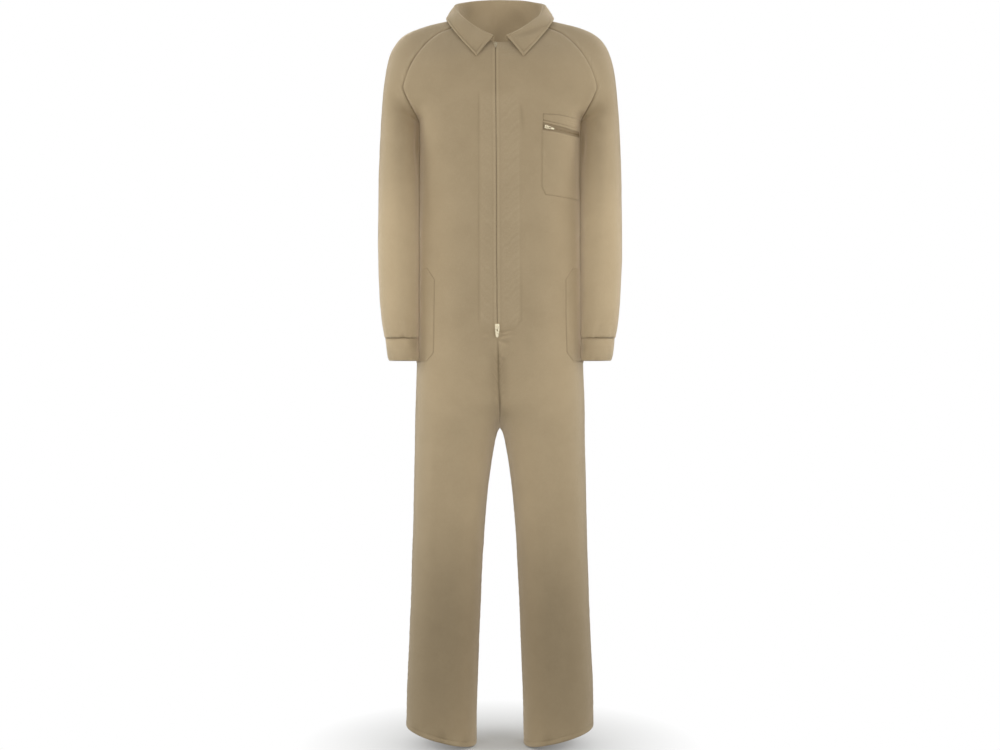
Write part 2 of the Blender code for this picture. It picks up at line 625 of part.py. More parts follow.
# ---------------------------------------------------------------- collar
def half_neckline():
    """Outer points of the neck edge from the middle of the back to the collar's front end."""
    shares = np.linspace(0.0, 1.0, 24)
    back = body_line(NECK_ROW, True)
    head = sleeve_points(NECK_ROW, shares)[::-1]
    front = body_line(NECK_ROW, False)[::-1]
    line = np.concatenate([back, head[1:-1], front])
    ahead = [i for i in range(len(line)) if line[i, 1] > 0.0 or line[i, 0] >= COLLAR_END_X]
    end = ahead[-1]
    a, b = line[end], line[end + 1]
    last = a + (b - a) * (a[0] - COLLAR_END_X) / (a[0] - b[0])
    return np.concatenate([line[: end + 1], [last]])


def collar_section(share, neckline):
    """The face of the collar that shows, from the neck seam up the stand, over the fold and down."""
    s = collar_stations.at(share)
    foot = points_along(neckline, [share * lengths_along(neckline)[-1]])[0]
    fold = np.array([s.fold_x, s.fold_y, s.fold_z])
    edge = np.array([s.leaf_x, s.leaf_y, s.leaf_z])
    up = fold - foot
    up /= np.linalg.norm(up)
    out = edge - foot
    out -= up * out.dot(up)
    out /= np.linalg.norm(out)
    foot = foot + SEAM_GAP * 1.5 * up - 0.5 * WALL * out
    hinge = fold - FOLD_RADIUS * up
    arc = [hinge + FOLD_RADIUS * (math.cos(a) * out + math.sin(a) * up)
           for a in (math.pi, 0.72 * math.pi, 0.5 * math.pi, 0.28 * math.pi, 0.0)]
    stand = [foot + (arc[0] - foot) * t for t in (0.0, 0.5)]
    bow = arc[-1] + 0.35 * (edge - arc[-1]) + 0.004 * out
    leaf = [(1 - t) ** 2 * arc[-1] + 2 * t * (1 - t) * bow + t * t * edge for t in (0.25, 0.5, 0.75, 1.0)]
    return np.array(stand + arc + leaf)


def collar(name):
    neckline = half_neckline()
    shares = np.linspace(-1.0, 1.0, 29)
    grid = np.stack([mirrored(collar_section(abs(share), neckline), math.copysign(1.0, share))
                     for share in shares])
    along = np.gradient(grid, axis=0)
    across = np.gradient(grid, axis=1)
    normals = np.cross(across, along)
    normals /= np.linalg.norm(normals, axis=2)[:, :, None]
    return add_object(name, wall_mesh(name, grid, grid - COLLAR_WALL * normals), cloth())


# ---------------------------------------------------------------- zip tape and pockets
def front_point(x, row):
    """The point of the trunk's front at x on a row, on either side of the middle."""
    line = body_line(row, False)
    half = line[: int(np.argmax(line[:, 0] > 0.06)) + 1]
    whole = np.concatenate([half[:0:-1] * (-1.0, 1.0, 1.0), half])
    return np.stack([np.interp(x, whole[:, 0], whole[:, axis]) for axis in range(3)], axis=-1)


def front_zip_tape(name):
    low, high = row_of(ZIP_END_Z - 0.006), 12.85
    rows = [low] + [row for row in BODY_ROWS if low < row < high - 0.1] + [high]

    def on_row(row, at):
        z = front_point(0.0, row)[2]
        return front_point(front_line.at(z).x + (np.asarray(at) - 0.5) * ZIP_TAPE_WIDTH, row)

    points, normals = surface_grid(on_row, rows, np.linspace(0.0, 1.0, 5), low, high)
    face = points - (WALL + ZIP_TAPE_DROP) * normals
    return add_object(name, wall_mesh(name, face, face - ZIP_TAPE_WALL * normals), tape())


def prism(name, outline, near, far):
    """A flat outline in x and z, as a solid from y = near to y = far."""
    bm = bmesh.new()
    front = [bm.verts.new((x, near, z)) for x, z in outline]
    rear = [bm.verts.new((x, far, z)) for x, z in outline]
    bm.faces.new(front)
    bm.faces.new(rear[::-1])
    for i in range(len(outline)):
        j = (i + 1) % len(outline)
        bm.faces.new((front[j], front[i], rear[i], rear[j]))
    bmesh.ops.recalc_face_normals(bm, faces=bm.faces)
    return mesh_from(name, bm)


PATCH_SPARE_BELOW = 0.09     # the blank of a pocket reaches this far past its outline
PATCH_SPARE_ABOVE = 0.06
CUTTER_REACH = (-0.25, 0.03)  # nearest and furthest y of the shapes that cut pockets out


def patch(name, outline, side, lift, thickness, finish):
    """A piece laid on a front panel: the panel's own facets, moved out and cut to the outline."""
    heights = [z for _, z in outline]
    lowest, highest = min(heights) - PATCH_SPARE_BELOW, max(heights) + PATCH_SPARE_ABOVE
    rows = [row for row in BODY_ROWS if lowest < body_line(row, False)[0, 2] < highest]
    points, normals = body_grid(False, side, rows)
    blank = wall_mesh(name, points + (lift + thickness) * normals, points + lift * normals, flip=side < 0)
    piece = add_object(name, blank, finish)
    cutter = prism(name + "_cutter", [(side * x, z) for x, z in outline], *CUTTER_REACH)
    cutter = add_object(name + "_cutter", cutter, finish, cutter_collection)
    cutter.hide_render = True
    cutter.display_type = "WIRE"
    cut = piece.modifiers.new("outline", "BOOLEAN")
    cut.operation = "INTERSECT"
    cut.object = cutter
    return piece


# ---------------------------------------------------------------- sliders and pull tabs
def flat_bar(name, outlines, thickness):
    """A flat piece in local x and z, centred on y = 0, with any further outlines as holes."""
    curve = bpy.data.curves.new(name, "CURVE")
    curve.dimensions = "2D"
    curve.fill_mode = "BOTH"
    curve.extrude = thickness / 2
    for outline in outlines:
        spline = curve.splines.new("POLY")
        spline.points.add(len(outline) - 1)
        for point, (x, z) in zip(spline.points, outline):
            point.co = (x, z, 0.0, 1.0)
        spline.use_cyclic_u = True
    guide = bpy.data.objects.new(name, curve)
    cutter_collection.objects.link(guide)
    bpy.context.view_layer.update()
    mesh = bpy.data.meshes.new_from_object(guide.evaluated_get(bpy.context.evaluated_depsgraph_get()))
    bpy.data.objects.remove(guide)
    bm = bmesh.new()
    bm.from_mesh(mesh)
    bmesh.ops.remove_doubles(bm, verts=bm.verts, dist=1e-6)
    bm.transform(Matrix.Rotation(math.radians(90), 4, "X"))
    bmesh.ops.recalc_face_normals(bm, faces=bm.faces)
    bpy.data.meshes.remove(mesh)
    return mesh_from(name, bm)


def wire(name, points, diameter):
    curve = bpy.data.curves.new(name, "CURVE")
    curve.dimensions = "3D"
    curve.bevel_depth = diameter / 2
    curve.bevel_resolution = 2
    curve.use_fill_caps = True
    spline = curve.splines.new("POLY")
    spline.points.add(len(points) - 1)
    for point, place in zip(spline.points, points):
        point.co = (*place, 1.0)
    guide = bpy.data.objects.new(name, curve)
    cutter_collection.objects.link(guide)
    bpy.context.view_layer.update()
    mesh = bpy.data.meshes.new_from_object(guide.evaluated_get(bpy.context.evaluated_depsgraph_get()))
    bpy.data.objects.remove(guide)
    bm = bmesh.new()
    bm.from_mesh(mesh)
    bmesh.ops.remove_doubles(bm, verts=bm.verts, dist=1e-6)
    bmesh.ops.recalc_face_normals(bm, faces=bm.faces)
    bpy.data.meshes.remove(mesh)
    return mesh_from(name, bm)


def block(name, low, high):
    bm = bmesh.new()
    bmesh.ops.create_cube(bm, size=1.0)
    low, high = Vector(low), Vector(high)
    size = high - low
    bm.transform(Matrix.Translation((low + high) / 2) @ Matrix.Diagonal((*size, 1.0)))
    return mesh_from(name, bm)


AXIS_OUT = 0.0030            # from the cloth to the middle of a pull tab
PLATE_OUT = 0.0004           # from the cloth to the slider's plate
PLATE = 0.0012
PLATE_OUTLINE = [(-0.0036, 0.0062), (0.0036, 0.0062), (0.0047, 0.0040), (0.0044, -0.0020),
                 (0.0032, -0.0056), (-0.0032, -0.0056), (-0.0044, -0.0020), (-0.0047, 0.0040)]
BRIDGE = 0.0011              # wire of the bridge that holds the tab
BRIDGE_RISE = 0.0018         # from the middle of the tab out to the middle of the wire
BRIDGE_FOOT = 0.0005         # how far the wire's ends sink into the plate
BRIDGE_LINE = [0.0040, 0.0028, -0.0016, -0.0034]   # heights of its foot, corner, corner and foot
NECK_HALF = 0.0008           # half the width of the neck that reaches between the cloth edges
NECK_LOW, NECK_HIGH = -0.0030, 0.0045
TAB = 0.0011
TAB_TOP = 0.0008             # above the hinge's axis
TAB_BAR = 0.0016             # of the tab above its slot
SHOULDER_Z = -0.0016         # where the tab reaches its full width
TAPER = 0.38                 # share of the length at which the tab starts to narrow
SLOT_HALF = 0.0011
SLOT_BOTTOM = -0.0072
HOLE_RADIUS = 0.0014         # of the round lower end of the slot
HOLE_DROP = 0.0006           # from the slot's end to the middle of that round
BODY_REACH = 0.055           # beyond this x a place is looked up on the half section alone


def frame_on_front(x, row, along, out):
    """A frame on the trunk's front: local z along the given heading, local -y away from the cloth."""
    step = 0.004
    look_up = front_point if abs(x) < BODY_REACH else front_left_point
    point = look_up(x, row)
    across = look_up(x + step, row) - point
    above = look_up(x, row + step / ROW_PITCH) - point
    normal = Vector(np.cross(across, above)).normalized()
    z_axis = Vector(along) - Vector(along).dot(normal) * normal
    z_axis.normalize()
    y_axis = -normal
    x_axis = y_axis.cross(z_axis)
    turn = Matrix((x_axis, y_axis, z_axis)).transposed().to_4x4()
    return Matrix.Translation(Vector(point) + out * normal) @ turn


def front_left_point(x, row):
    line = body_line(row, False)
    half = line[: int(np.argmax(line[:, 0])) + 1]
    return np.stack([np.interp(x, half[:, 0], half[:, axis]) for axis in range(3)], axis=-1)


def slider(name, frame, scale, neck_depth):
    """Slider of a zip: a plate over the teeth with a neck that reaches into them and a bridge of wire."""
    plate_y = AXIS_OUT - PLATE_OUT - PLATE / 2
    plate = flat_bar(name, [[(x * scale, z * scale) for x, z in reversed(PLATE_OUTLINE)]], PLATE)
    plate.transform(Matrix.Translation((0.0, plate_y, 0.0)))
    body = add_object(name, plate, brass())
    body.matrix_world = frame
    foot = plate_y - PLATE / 2 + BRIDGE_FOOT
    depths = [foot, -BRIDGE_RISE, -BRIDGE_RISE, foot]
    arch = wire(name + "_bridge", [(0.0, y, z * scale) for y, z in zip(depths, BRIDGE_LINE)], BRIDGE)
    neck = block(name + "_neck", (-NECK_HALF, plate_y, NECK_LOW * scale),
                 (NECK_HALF, AXIS_OUT + neck_depth, NECK_HIGH * scale))
    for part in (arch, neck):
        helper = add_object(part.name + "_shape", part, brass(), cutter_collection)
        helper.matrix_world = frame
        helper.hide_render = True
        helper.display_type = "WIRE"
        join = body.modifiers.new(part.name, "BOOLEAN")
        join.operation = "UNION"
        join.object = helper
    return body


def arc_points(middle, radius, start, stop, count):
    return [(middle[0] + radius * math.cos(math.radians(a)), middle[1] + radius * math.sin(math.radians(a)))
            for a in np.linspace(start, stop, count)]


def pull_tab(name, frame, width, length):
    """A flat tab that hangs from the bridge by the bar over its slot; its origin is on the hinge."""
    half, tip = 0.5 * width, 0.29 * width
    outline = [(-0.36 * width, TAB_TOP), (0.36 * width, TAB_TOP), (half, SHOULDER_Z)]
    outline += [(0.9 * half, -TAPER * length)] + arc_points((0.0, tip - length), tip, 0, -180, 7)
    outline += [(-0.9 * half, -TAPER * length), (-half, SHOULDER_Z)]
    slot_top = TAB_TOP - TAB_BAR
    slot = [(SLOT_HALF, slot_top), (SLOT_HALF, SLOT_BOTTOM)]
    slot += arc_points((0.0, SLOT_BOTTOM - HOLE_DROP), HOLE_RADIUS, 20, -200, 9)
    slot += [(-SLOT_HALF, SLOT_BOTTOM), (-SLOT_HALF, slot_top)]
    tab = add_object(name, flat_bar(name, [outline, slot], TAB), brass())
    tab.matrix_world = frame
    return tab


# Each slider with its tab: where it lies on the front, which way it runs, how far out the tab's axis
# is, the slider's scale, how deep its neck goes past the cloth's face, and the tab's size.
ZipPull = namedtuple("ZipPull", "slider tab x row along out scale neck_depth tab_width tab_length")
UP = (0.0, 0.0, 1.0)
ZIP_PULLS = [
    ZipPull("front_zip_slider_bottom", "front_zip_pull_bottom", -0.0058, row_of(-0.677), UP,
            AXIS_OUT, 1.0, WALL + 0.0001, 0.0095, 0.0225),
    ZipPull("front_zip_slider_top", "front_zip_pull_top", -0.0097, 12.66, UP,
            AXIS_OUT, 0.8, WALL + 0.0001, 0.0055, 0.0165),
    ZipPull("chest_zip_slider", "chest_zip_pull", 0.0985, 2.44, (-0.97, 0.0, 0.236),
            SEAM_GAP + ZIP_TAPE_WALL + AXIS_OUT, 0.75, -0.0002, 0.0050, 0.0160),
]


# ---------------------------------------------------------------- the suit
for leftover in list(bpy.data.objects):
    bpy.data.objects.remove(leftover)
for child in (suit_collection, cutter_collection):
    bpy.context.scene.collection.children.link(child)

for label, side in (("left", 1.0), ("right", -1.0)):
    for face, back in (("front_", False), ("back_", True)):
        body_panel(face + label, back, side, BODY_NODE_ROWS)
        body_panel(face + label + "_leg", back, side, LEG_NODE_ROWS)
    sleeve("sleeve_" + label, side)
    cuff("cuff_" + label, side)
    patch("hip_pocket_" + label, HIP_POCKET, side, SEAM_GAP, WALL, cloth())
collar("collar")
front_zip_tape("front_zip_tape")
patch("chest_pocket_top", CHEST_POCKET_TOP, 1.0, SEAM_GAP, WALL, cloth())
patch("chest_pocket", CHEST_POCKET, 1.0, SEAM_GAP, WALL, cloth())
patch("chest_zip_tape", CHEST_ZIP_TAPE, 1.0, SEAM_GAP, ZIP_TAPE_WALL, tape())
for pull in ZIP_PULLS:
    place = frame_on_front(pull.x, pull.row, pull.along, pull.out)
    slider(pull.slider, place, pull.scale, pull.neck_depth)
    pull_tab(pull.tab, place, pull.tab_width, pull.tab_length)
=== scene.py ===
"""Looks of the boiler suit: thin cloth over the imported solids, with folds, sewing, zips and finishes."""

import math
from collections import namedtuple

import bmesh
import bpy
import numpy as np
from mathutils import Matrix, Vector
from mathutils.bvhtree import BVHTree


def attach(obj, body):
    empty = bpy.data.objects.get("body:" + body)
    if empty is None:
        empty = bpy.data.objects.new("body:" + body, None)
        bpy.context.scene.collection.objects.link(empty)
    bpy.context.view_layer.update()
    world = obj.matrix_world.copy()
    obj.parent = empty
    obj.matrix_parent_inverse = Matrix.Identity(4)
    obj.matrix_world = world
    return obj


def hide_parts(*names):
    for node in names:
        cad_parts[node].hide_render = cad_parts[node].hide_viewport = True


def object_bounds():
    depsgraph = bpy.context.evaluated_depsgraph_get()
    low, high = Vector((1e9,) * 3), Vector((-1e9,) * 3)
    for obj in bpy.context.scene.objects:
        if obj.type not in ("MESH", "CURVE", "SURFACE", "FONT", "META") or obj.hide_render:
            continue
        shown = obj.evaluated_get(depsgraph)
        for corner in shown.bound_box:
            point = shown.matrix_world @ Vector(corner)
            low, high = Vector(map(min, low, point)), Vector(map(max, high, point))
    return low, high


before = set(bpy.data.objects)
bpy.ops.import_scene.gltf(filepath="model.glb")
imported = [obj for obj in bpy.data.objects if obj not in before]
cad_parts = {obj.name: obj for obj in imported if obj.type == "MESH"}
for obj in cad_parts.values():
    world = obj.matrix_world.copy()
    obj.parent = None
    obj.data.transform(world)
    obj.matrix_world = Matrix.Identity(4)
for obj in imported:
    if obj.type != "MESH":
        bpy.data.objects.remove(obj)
cad_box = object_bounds()

# ---------------------------------------------------------------- sizes, in metres
CLOTH = 0.0008               # twill with its seam allowances
FACED = 0.0014               # where a facing lies behind the twill
HEM_DEPTH = 0.012            # turn-up of the leg hems
HEM_WALL = 0.0020
HEM_Z = -1.571
HEM_SLOPE = 0.256            # the hems rise towards the outside
HEM_SLOPE_REACH = 0.30       # and this far above them the rows are level
CROTCH_Z = -0.8954
YOKE_Z = -0.40               # height of row 0; below it the rows are level, and above it they lean
ROW_PITCH = 0.06
ARMPIT_ROW = 3
NECK_ROW = 13
HIP_ROWS = 2.2               # rows above the crotch over which its columns spread out again
HEAD_ROW = 9.0               # and the same above the armpit
ZIP_GAP = 0.003
ZIP_END_Z = -0.700
ZIP_END_HALF = 0.004         # the zip's gap closes over twice this length
COLLAR_END_X = 0.0146
COLLAR_WALL = 0.0017
FOLD_RADIUS = 0.0028
SLEEVE_END_Z = -0.7005
SLEEVE_GIRTH = 0.42
MILLIMETRE = 0.001
LINE_STEPS = 160             # points on a line across a panel
SECTION_STEPS = 240

# ---------------------------------------------------------------- the suit's sections
Section = namedtuple("Section", "z outer inner side_y front_y back_y roundness")
SECTIONS = [
    Section(-1.600, 0.2064, 0.0522, 0.012, -0.0695, 0.0935, 2.15),
    Section(-1.500, 0.2052, 0.0512, 0.012, -0.0705, 0.0955, 2.15),
    Section(-1.400, 0.2012, 0.0478, 0.009, -0.0760, 0.0960, 2.17),
    Section(-1.300, 0.1968, 0.0436, 0.004, -0.0845, 0.0950, 2.20),
    Section(-1.186, 0.1928, 0.0385, 0.000, -0.0950, 0.0940, 2.22),
    Section(-1.100, 0.1903, 0.0330, 0.000, -0.1000, 0.1030, 2.25),
    Section(-1.020, 0.1888, 0.0258, 0.004, -0.1050, 0.1160, 2.28),
    Section(-0.970, 0.1880, 0.0190, 0.008, -0.1100, 0.1260, 2.30),
    Section(-0.940, 0.1874, 0.0138, 0.010, -0.1130, 0.1325, 2.32),
    Section(-0.915, 0.1870, 0.0086, 0.012, -0.1155, 0.1385, 2.34),
    Section(-0.902, 0.1869, 0.0042, 0.013, -0.1175, 0.1415, 2.36),
    Section(-0.8954, 0.1868, 0.0003, 0.014, -0.1190, 0.1430, 2.38),
    Section(-0.889, 0.1868, -0.0052, 0.015, -0.1203, 0.1445, 2.38),
    Section(-0.878, 0.1867, -0.0130, 0.016, -0.1220, 0.1465, 2.40),
    Section(-0.862, 0.1866, -0.0250, 0.018, -0.1240, 0.1495, 2.40),
    Section(-0.840, 0.1862, -0.0460, 0.020, -0.1260, 0.1530, 2.44),
    Section(-0.810, 0.1852, -0.0820, 0.023, -0.1285, 0.1555, 2.46),
    Section(-0.770, 0.1834, -0.1250, 0.026, -0.1305, 0.1565, 2.48),
    Section(-0.720, 0.1816, -0.1620, 0.029, -0.1315, 0.1555, 2.50),
    Section(-0.670, 0.1804, -0.1804, 0.030, -0.1320, 0.1515, 2.52),
    Section(-0.600, 0.1798, -0.1798, 0.030, -0.1310, 0.1440, 2.54),
    Section(-0.520, 0.1795, -0.1795, 0.030, -0.1300, 0.1375, 2.56),
    Section(-0.450, 0.1790, -0.1790, 0.030, -0.1315, 0.1375, 2.58),
    Section(-0.380, 0.1784, -0.1784, 0.027, -0.1340, 0.1420, 2.60),
    Section(-0.280, 0.1767, -0.1767, 0.014, -0.1350, 0.1495, 2.60),
]

YokeRow = namedtuple("YokeRow", "z y seam_x seam_y seam_z turn lift reach seam_reach"
                                " sleeve_turn sleeve_reach over_reach")
FRONT_YOKE = [
    YokeRow(-0.400, -0.1330, 0.1786, 0.0280, -0.4000, 90, 0, 0.132, 0.118, -90, 0.111, 0.111),
    YokeRow(-0.340, -0.1345, 0.1778, 0.0230, -0.3400, 90, 0, 0.134, 0.118, -90, 0.111, 0.111),
    YokeRow(-0.280, -0.1350, 0.1767, 0.0140, -0.2800, 90, 0, 0.137, 0.116, -90, 0.111, 0.111),
    YokeRow(-0.229, -0.1340, 0.1756, -0.0080, -0.2290, 90, 0, 0.139, 0.108, -90, 0.111, 0.111),
    YokeRow(-0.213, -0.1330, 0.1776, -0.0500, -0.2244, 72, 0, 0.138, 0.072, -62, 0.060, 0.105),
    YokeRow(-0.197, -0.1312, 0.1899, -0.0780, -0.2036, 55, 1, 0.124, 0.045, -20, 0.035, 0.092),
    YokeRow(-0.181, -0.1287, 0.2019, -0.0920, -0.1805, 44, 3, 0.116, 0.042, 14, 0.024, 0.078),
    YokeRow(-0.167, -0.1261, 0.2071, -0.0955, -0.1640, 38, 6, 0.108, 0.046, 30, 0.020, 0.066),
    YokeRow(-0.149, -0.1222, 0.1997, -0.0950, -0.1361, 34, 10, 0.100, 0.050, 34, 0.022, 0.058),
    YokeRow(-0.131, -0.1175, 0.1872, -0.0890, -0.1070, 33, 14, 0.095, 0.050, 33, 0.024, 0.053),
    YokeRow(-0.116, -0.1125, 0.1748, -0.0820, -0.0860, 34, 17, 0.090, 0.048, 34, 0.025, 0.050),
    YokeRow(-0.101, -0.1060, 0.1603, -0.0730, -0.0668, 36, 20, 0.085, 0.045, 36, 0.026, 0.046),
    YokeRow(-0.084, -0.0960, 0.1351, -0.0570, -0.0415, 42, 25, 0.070, 0.038, 42, 0.024, 0.038),
    YokeRow(-0.063, -0.0750, 0.0905, -0.0360, -0.0180, 55, 35, 0.045, 0.030, 55, 0.014, 0.018),
]
BACK_YOKE = [
    YokeRow(-0.400, 0.1405, 0.1786, 0.0280, -0.4000, 90, 0, 0.130, 0.092, -90, 0.111, 0.111),
    YokeRow(-0.340, 0.1455, 0.1778, 0.0230, -0.3400, 90, 0, 0.130, 0.100, -90, 0.111, 0.111),
    YokeRow(-0.280, 0.1495, 0.1767, 0.0140, -0.2800, 90, 0, 0.130, 0.112, -90, 0.111, 0.111),
    YokeRow(-0.229, 0.1510, 0.1756, -0.0080, -0.2290, 90, 0, 0.130, 0.128, -90, 0.111, 0.111),
    YokeRow(-0.210, 0.1508, 0.1775, 0.0400, -0.2235, 72, 0, 0.132, 0.080, -62, 0.060, 0.105),
    YokeRow(-0.191, 0.1500, 0.1840, 0.0780, -0.2040, 52, 0, 0.120, 0.048, -20, 0.038, 0.100),
    YokeRow(-0.171, 0.1480, 0.1915, 0.1010, -0.1810, 40, 2, 0.112, 0.046, 14, 0.034, 0.094),
    YokeRow(-0.152, 0.1452, 0.1950, 0.1110, -0.1620, 34, 4, 0.105, 0.050, 28, 0.034, 0.086),
    YokeRow(-0.130, 0.1410, 0.1895, 0.1165, -0.1340, 29, 7, 0.100, 0.050, 29, 0.035, 0.078),
    YokeRow(-0.106, 0.1352, 0.1775, 0.1140, -0.1040, 28, 9, 0.095, 0.050, 28, 0.036, 0.070),
    YokeRow(-0.083, 0.1290, 0.1650, 0.1070, -0.0820, 30, 10, 0.090, 0.048, 30, 0.036, 0.064),
    YokeRow(-0.058, 0.1210, 0.1500, 0.0975, -0.0600, 33, 10, 0.085, 0.045, 33, 0.034, 0.056),
    YokeRow(-0.026, 0.1065, 0.1240, 0.0790, -0.0290, 40, 8, 0.070, 0.038, 40, 0.030, 0.042),
    YokeRow(0.024, 0.0780, 0.0830, 0.0420, 0.0120, 60, -14, 0.045, 0.028, 60, 0.016, 0.018),
]

Overarm = namedtuple("Overarm", "row x y z")
OVERARM = [
    Overarm(3, 0.2604, -0.0080, -0.2290),
    Overarm(4, 0.2588, -0.0060, -0.2037),
    Overarm(5, 0.2570, -0.0045, -0.1768),
    Overarm(6, 0.2550, -0.0035, -0.1506),
    Overarm(7, 0.2522, -0.0030, -0.1290),
    Overarm(8, 0.2480, -0.0025, -0.1017),
    Overarm(9, 0.2410, -0.0020, -0.0765),
    Overarm(10, 0.2310, -0.0020, -0.0560),
    Overarm(11, 0.2140, -0.0020, -0.0355),
    Overarm(12, 0.1760, -0.0010, -0.0165),
    Overarm(13, 0.0965, 0.0020, 0.0030),
]

Tube = namedtuple("Tube", "z inner outer y depth")
SLEEVE = [
    Tube(-0.7005, 0.1754, 0.2486, -0.0580, 0.0455),
    Tube(-0.690, 0.1750, 0.2508, -0.0575, 0.0485),
    Tube(-0.665, 0.1744, 0.2552, -0.0565, 0.0525),
    Tube(-0.630, 0.1740, 0.2588, -0.0555, 0.0565),
    Tube(-0.590, 0.1738, 0.2610, -0.0540, 0.0605),
    Tube(-0.530, 0.1738, 0.2636, -0.0510, 0.0665),
    Tube(-0.450, 0.1740, 0.2640, -0.0455, 0.0730),
    Tube(-0.380, 0.1746, 0.2636, -0.0375, 0.0780),
    Tube(-0.310, 0.1757, 0.2630, -0.0260, 0.0815),
    Tube(-0.260, 0.1761, 0.2618, -0.0145, 0.0830),
    Tube(-0.229, 0.1759, 0.2604, -0.0080, 0.0832),
]
CUFF = [
    Tube(-0.7484, 0.1750, 0.2382, -0.0585, 0.0385),
    Tube(-0.7440, 0.1746, 0.2410, -0.0585, 0.0392),
    Tube(-0.7250, 0.1748, 0.2450, -0.0585, 0.0408),
    Tube(-0.7009, 0.1752, 0.2476, -0.0580, 0.0425),
]

CollarStation = namedtuple("CollarStation", "share fold_x fold_y fold_z leaf_x leaf_y leaf_z")
COLLAR = [
    CollarStation(0.00, 0.0000, 0.0800, 0.0650, 0.0000, 0.1040, 0.0160),
    CollarStation(0.16, 0.0439, 0.0735, 0.0621, 0.0520, 0.0960, 0.0130),
    CollarStation(0.32, 0.0771, 0.0530, 0.0528, 0.0960, 0.0690, 0.0080),
    CollarStation(0.47, 0.0980, 0.0140, 0.0365, 0.1175, 0.0090, 0.0060),
    CollarStation(0.545, 0.0945, -0.0055, 0.0226, 0.1168, -0.0170, -0.0025),
    CollarStation(0.62, 0.0884, -0.0250, 0.0081, 0.1080, -0.0470, -0.0215),
    CollarStation(0.76, 0.0682, -0.0520, -0.0148, 0.0820, -0.0790, -0.0600),
    CollarStation(0.88, 0.0420, -0.0700, -0.0364, 0.0650, -0.0960, -0.0820),
    CollarStation(1.00, 0.0146, -0.0780, -0.0512, 0.0496, -0.1080, -0.1011),
]

FrontLine = namedtuple("FrontLine", "z x gap")
FRONT_LINE = [
    FrontLine(-0.860, 0.0000, 0.0),
    FrontLine(-0.780, -0.0030, 0.0),
    FrontLine(-0.720, -0.0046, 0.0),
    FrontLine(-0.700, -0.0052, ZIP_GAP),
    FrontLine(-0.600, -0.0064, ZIP_GAP),
    FrontLine(-0.240, -0.0085, ZIP_GAP),
    FrontLine(-0.060, -0.0097, ZIP_GAP),
]


# ---------------------------------------------------------------- smooth curves through the tables
def slopes(keys, values):
    """Slopes that keep the curve between its table values."""
    steps = np.diff(keys)
    rates = np.diff(values) / steps
    result = np.empty_like(values)
    result[0] = rates[0]
    result[-1] = rates[-1]
    for i in range(1, len(values) - 1):
        before, after = rates[i - 1], rates[i]
        if before * after <= 0.0:
            result[i] = 0.0
            continue
        near = 2.0 * steps[i] + steps[i - 1]
        far = steps[i] + 2.0 * steps[i - 1]
        result[i] = (near + far) / (near / before + far / after)
    return result


class SmoothTable:
    """Reads a table of named columns between its rows; forked columns may turn sharply at row fork."""

    def __init__(self, rows, key=None, fork=0, forked=()):
        self.kind = type(rows[0])
        self.values = np.array(rows, dtype=float)
        if key is None:
            self.keys = np.arange(len(rows), dtype=float)
        else:
            self.keys = self.values[:, self.kind._fields.index(key)]
        columns = range(self.values.shape[1])
        self.leaving = np.stack([slopes(self.keys, self.values[:, c]) for c in columns], axis=1)
        self.arriving = self.leaving.copy()
        for c in (self.kind._fields.index(name) for name in forked):
            below = slopes(self.keys[: fork + 1], self.values[: fork + 1, c])
            above = slopes(self.keys[fork:], self.values[fork:, c])
            self.leaving[:, c] = np.concatenate([below[:-1], above])
            self.arriving[:, c] = np.concatenate([below, above[1:]])

    def at(self, key):
        key = min(max(key, self.keys[0]), self.keys[-1])
        i = min(max(int(np.searchsorted(self.keys, key)) - 1, 0), len(self.keys) - 2)
        step = self.keys[i + 1] - self.keys[i]
        t = (key - self.keys[i]) / step
        here, there = self.values[i], self.values[i + 1]
        start = (1.0 + 2.0 * t) * (1.0 - t) ** 2 * here + t * (1.0 - t) ** 2 * step * self.leaving[i]
        stop = t * t * (3.0 - 2.0 * t) * there - t * t * (1.0 - t) * step * self.arriving[i + 1]
        return self.kind(*(start + stop))


sections = SmoothTable(SECTIONS, "z")
SEAM_COLUMNS = ("seam_x", "seam_y", "seam_z", "turn", "seam_reach", "sleeve_turn", "sleeve_reach")
front_yoke = SmoothTable(FRONT_YOKE, fork=ARMPIT_ROW, forked=SEAM_COLUMNS)
back_yoke = SmoothTable(BACK_YOKE, fork=ARMPIT_ROW, forked=SEAM_COLUMNS)
overarm = SmoothTable(OVERARM, "row")
sleeve_tube = SmoothTable(SLEEVE, "z")
cuff_tube = SmoothTable(CUFF, "z")
collar_stations = SmoothTable(COLLAR, "share")
front_line = SmoothTable(FRONT_LINE, "z")


def ease(value, start, stop):
    t = np.clip((value - start) / (stop - start), 0.0, 1.0)
    return t * t * (3.0 - 2.0 * t)


def bezier(p0, p1, p2, p3):
    t = np.linspace(0.0, 1.0, LINE_STEPS)[:, None]
    p0, p1, p2, p3 = (np.asarray(p, dtype=float) for p in (p0, p1, p2, p3))
    return (1 - t) ** 3 * p0 + 3 * t * (1 - t) ** 2 * p1 + 3 * t * t * (1 - t) * p2 + t ** 3 * p3


def unit(vectors):
    return vectors / np.linalg.norm(vectors, axis=-1, keepdims=True)


def lengths_along(line):
    steps = np.linalg.norm(np.diff(line, axis=0), axis=1)
    return np.concatenate([[0.0], np.cumsum(steps)])


def read_along(values, run, stops):
    """Rows of values that are known at the distances in run, read at the stops between them."""
    return np.stack([np.interp(stops, run, column) for column in values.T], axis=1)


def points_along(line, stops):
    return read_along(line, lengths_along(line), stops)


def evened(line):
    return points_along(line, np.linspace(0.0, lengths_along(line)[-1], LINE_STEPS))


# ---------------------------------------------------------------- the surface that the cloth follows
def row_height(row):
    return YOKE_Z + ROW_PITCH * row


def row_of(z):
    return (z - YOKE_Z) / ROW_PITCH


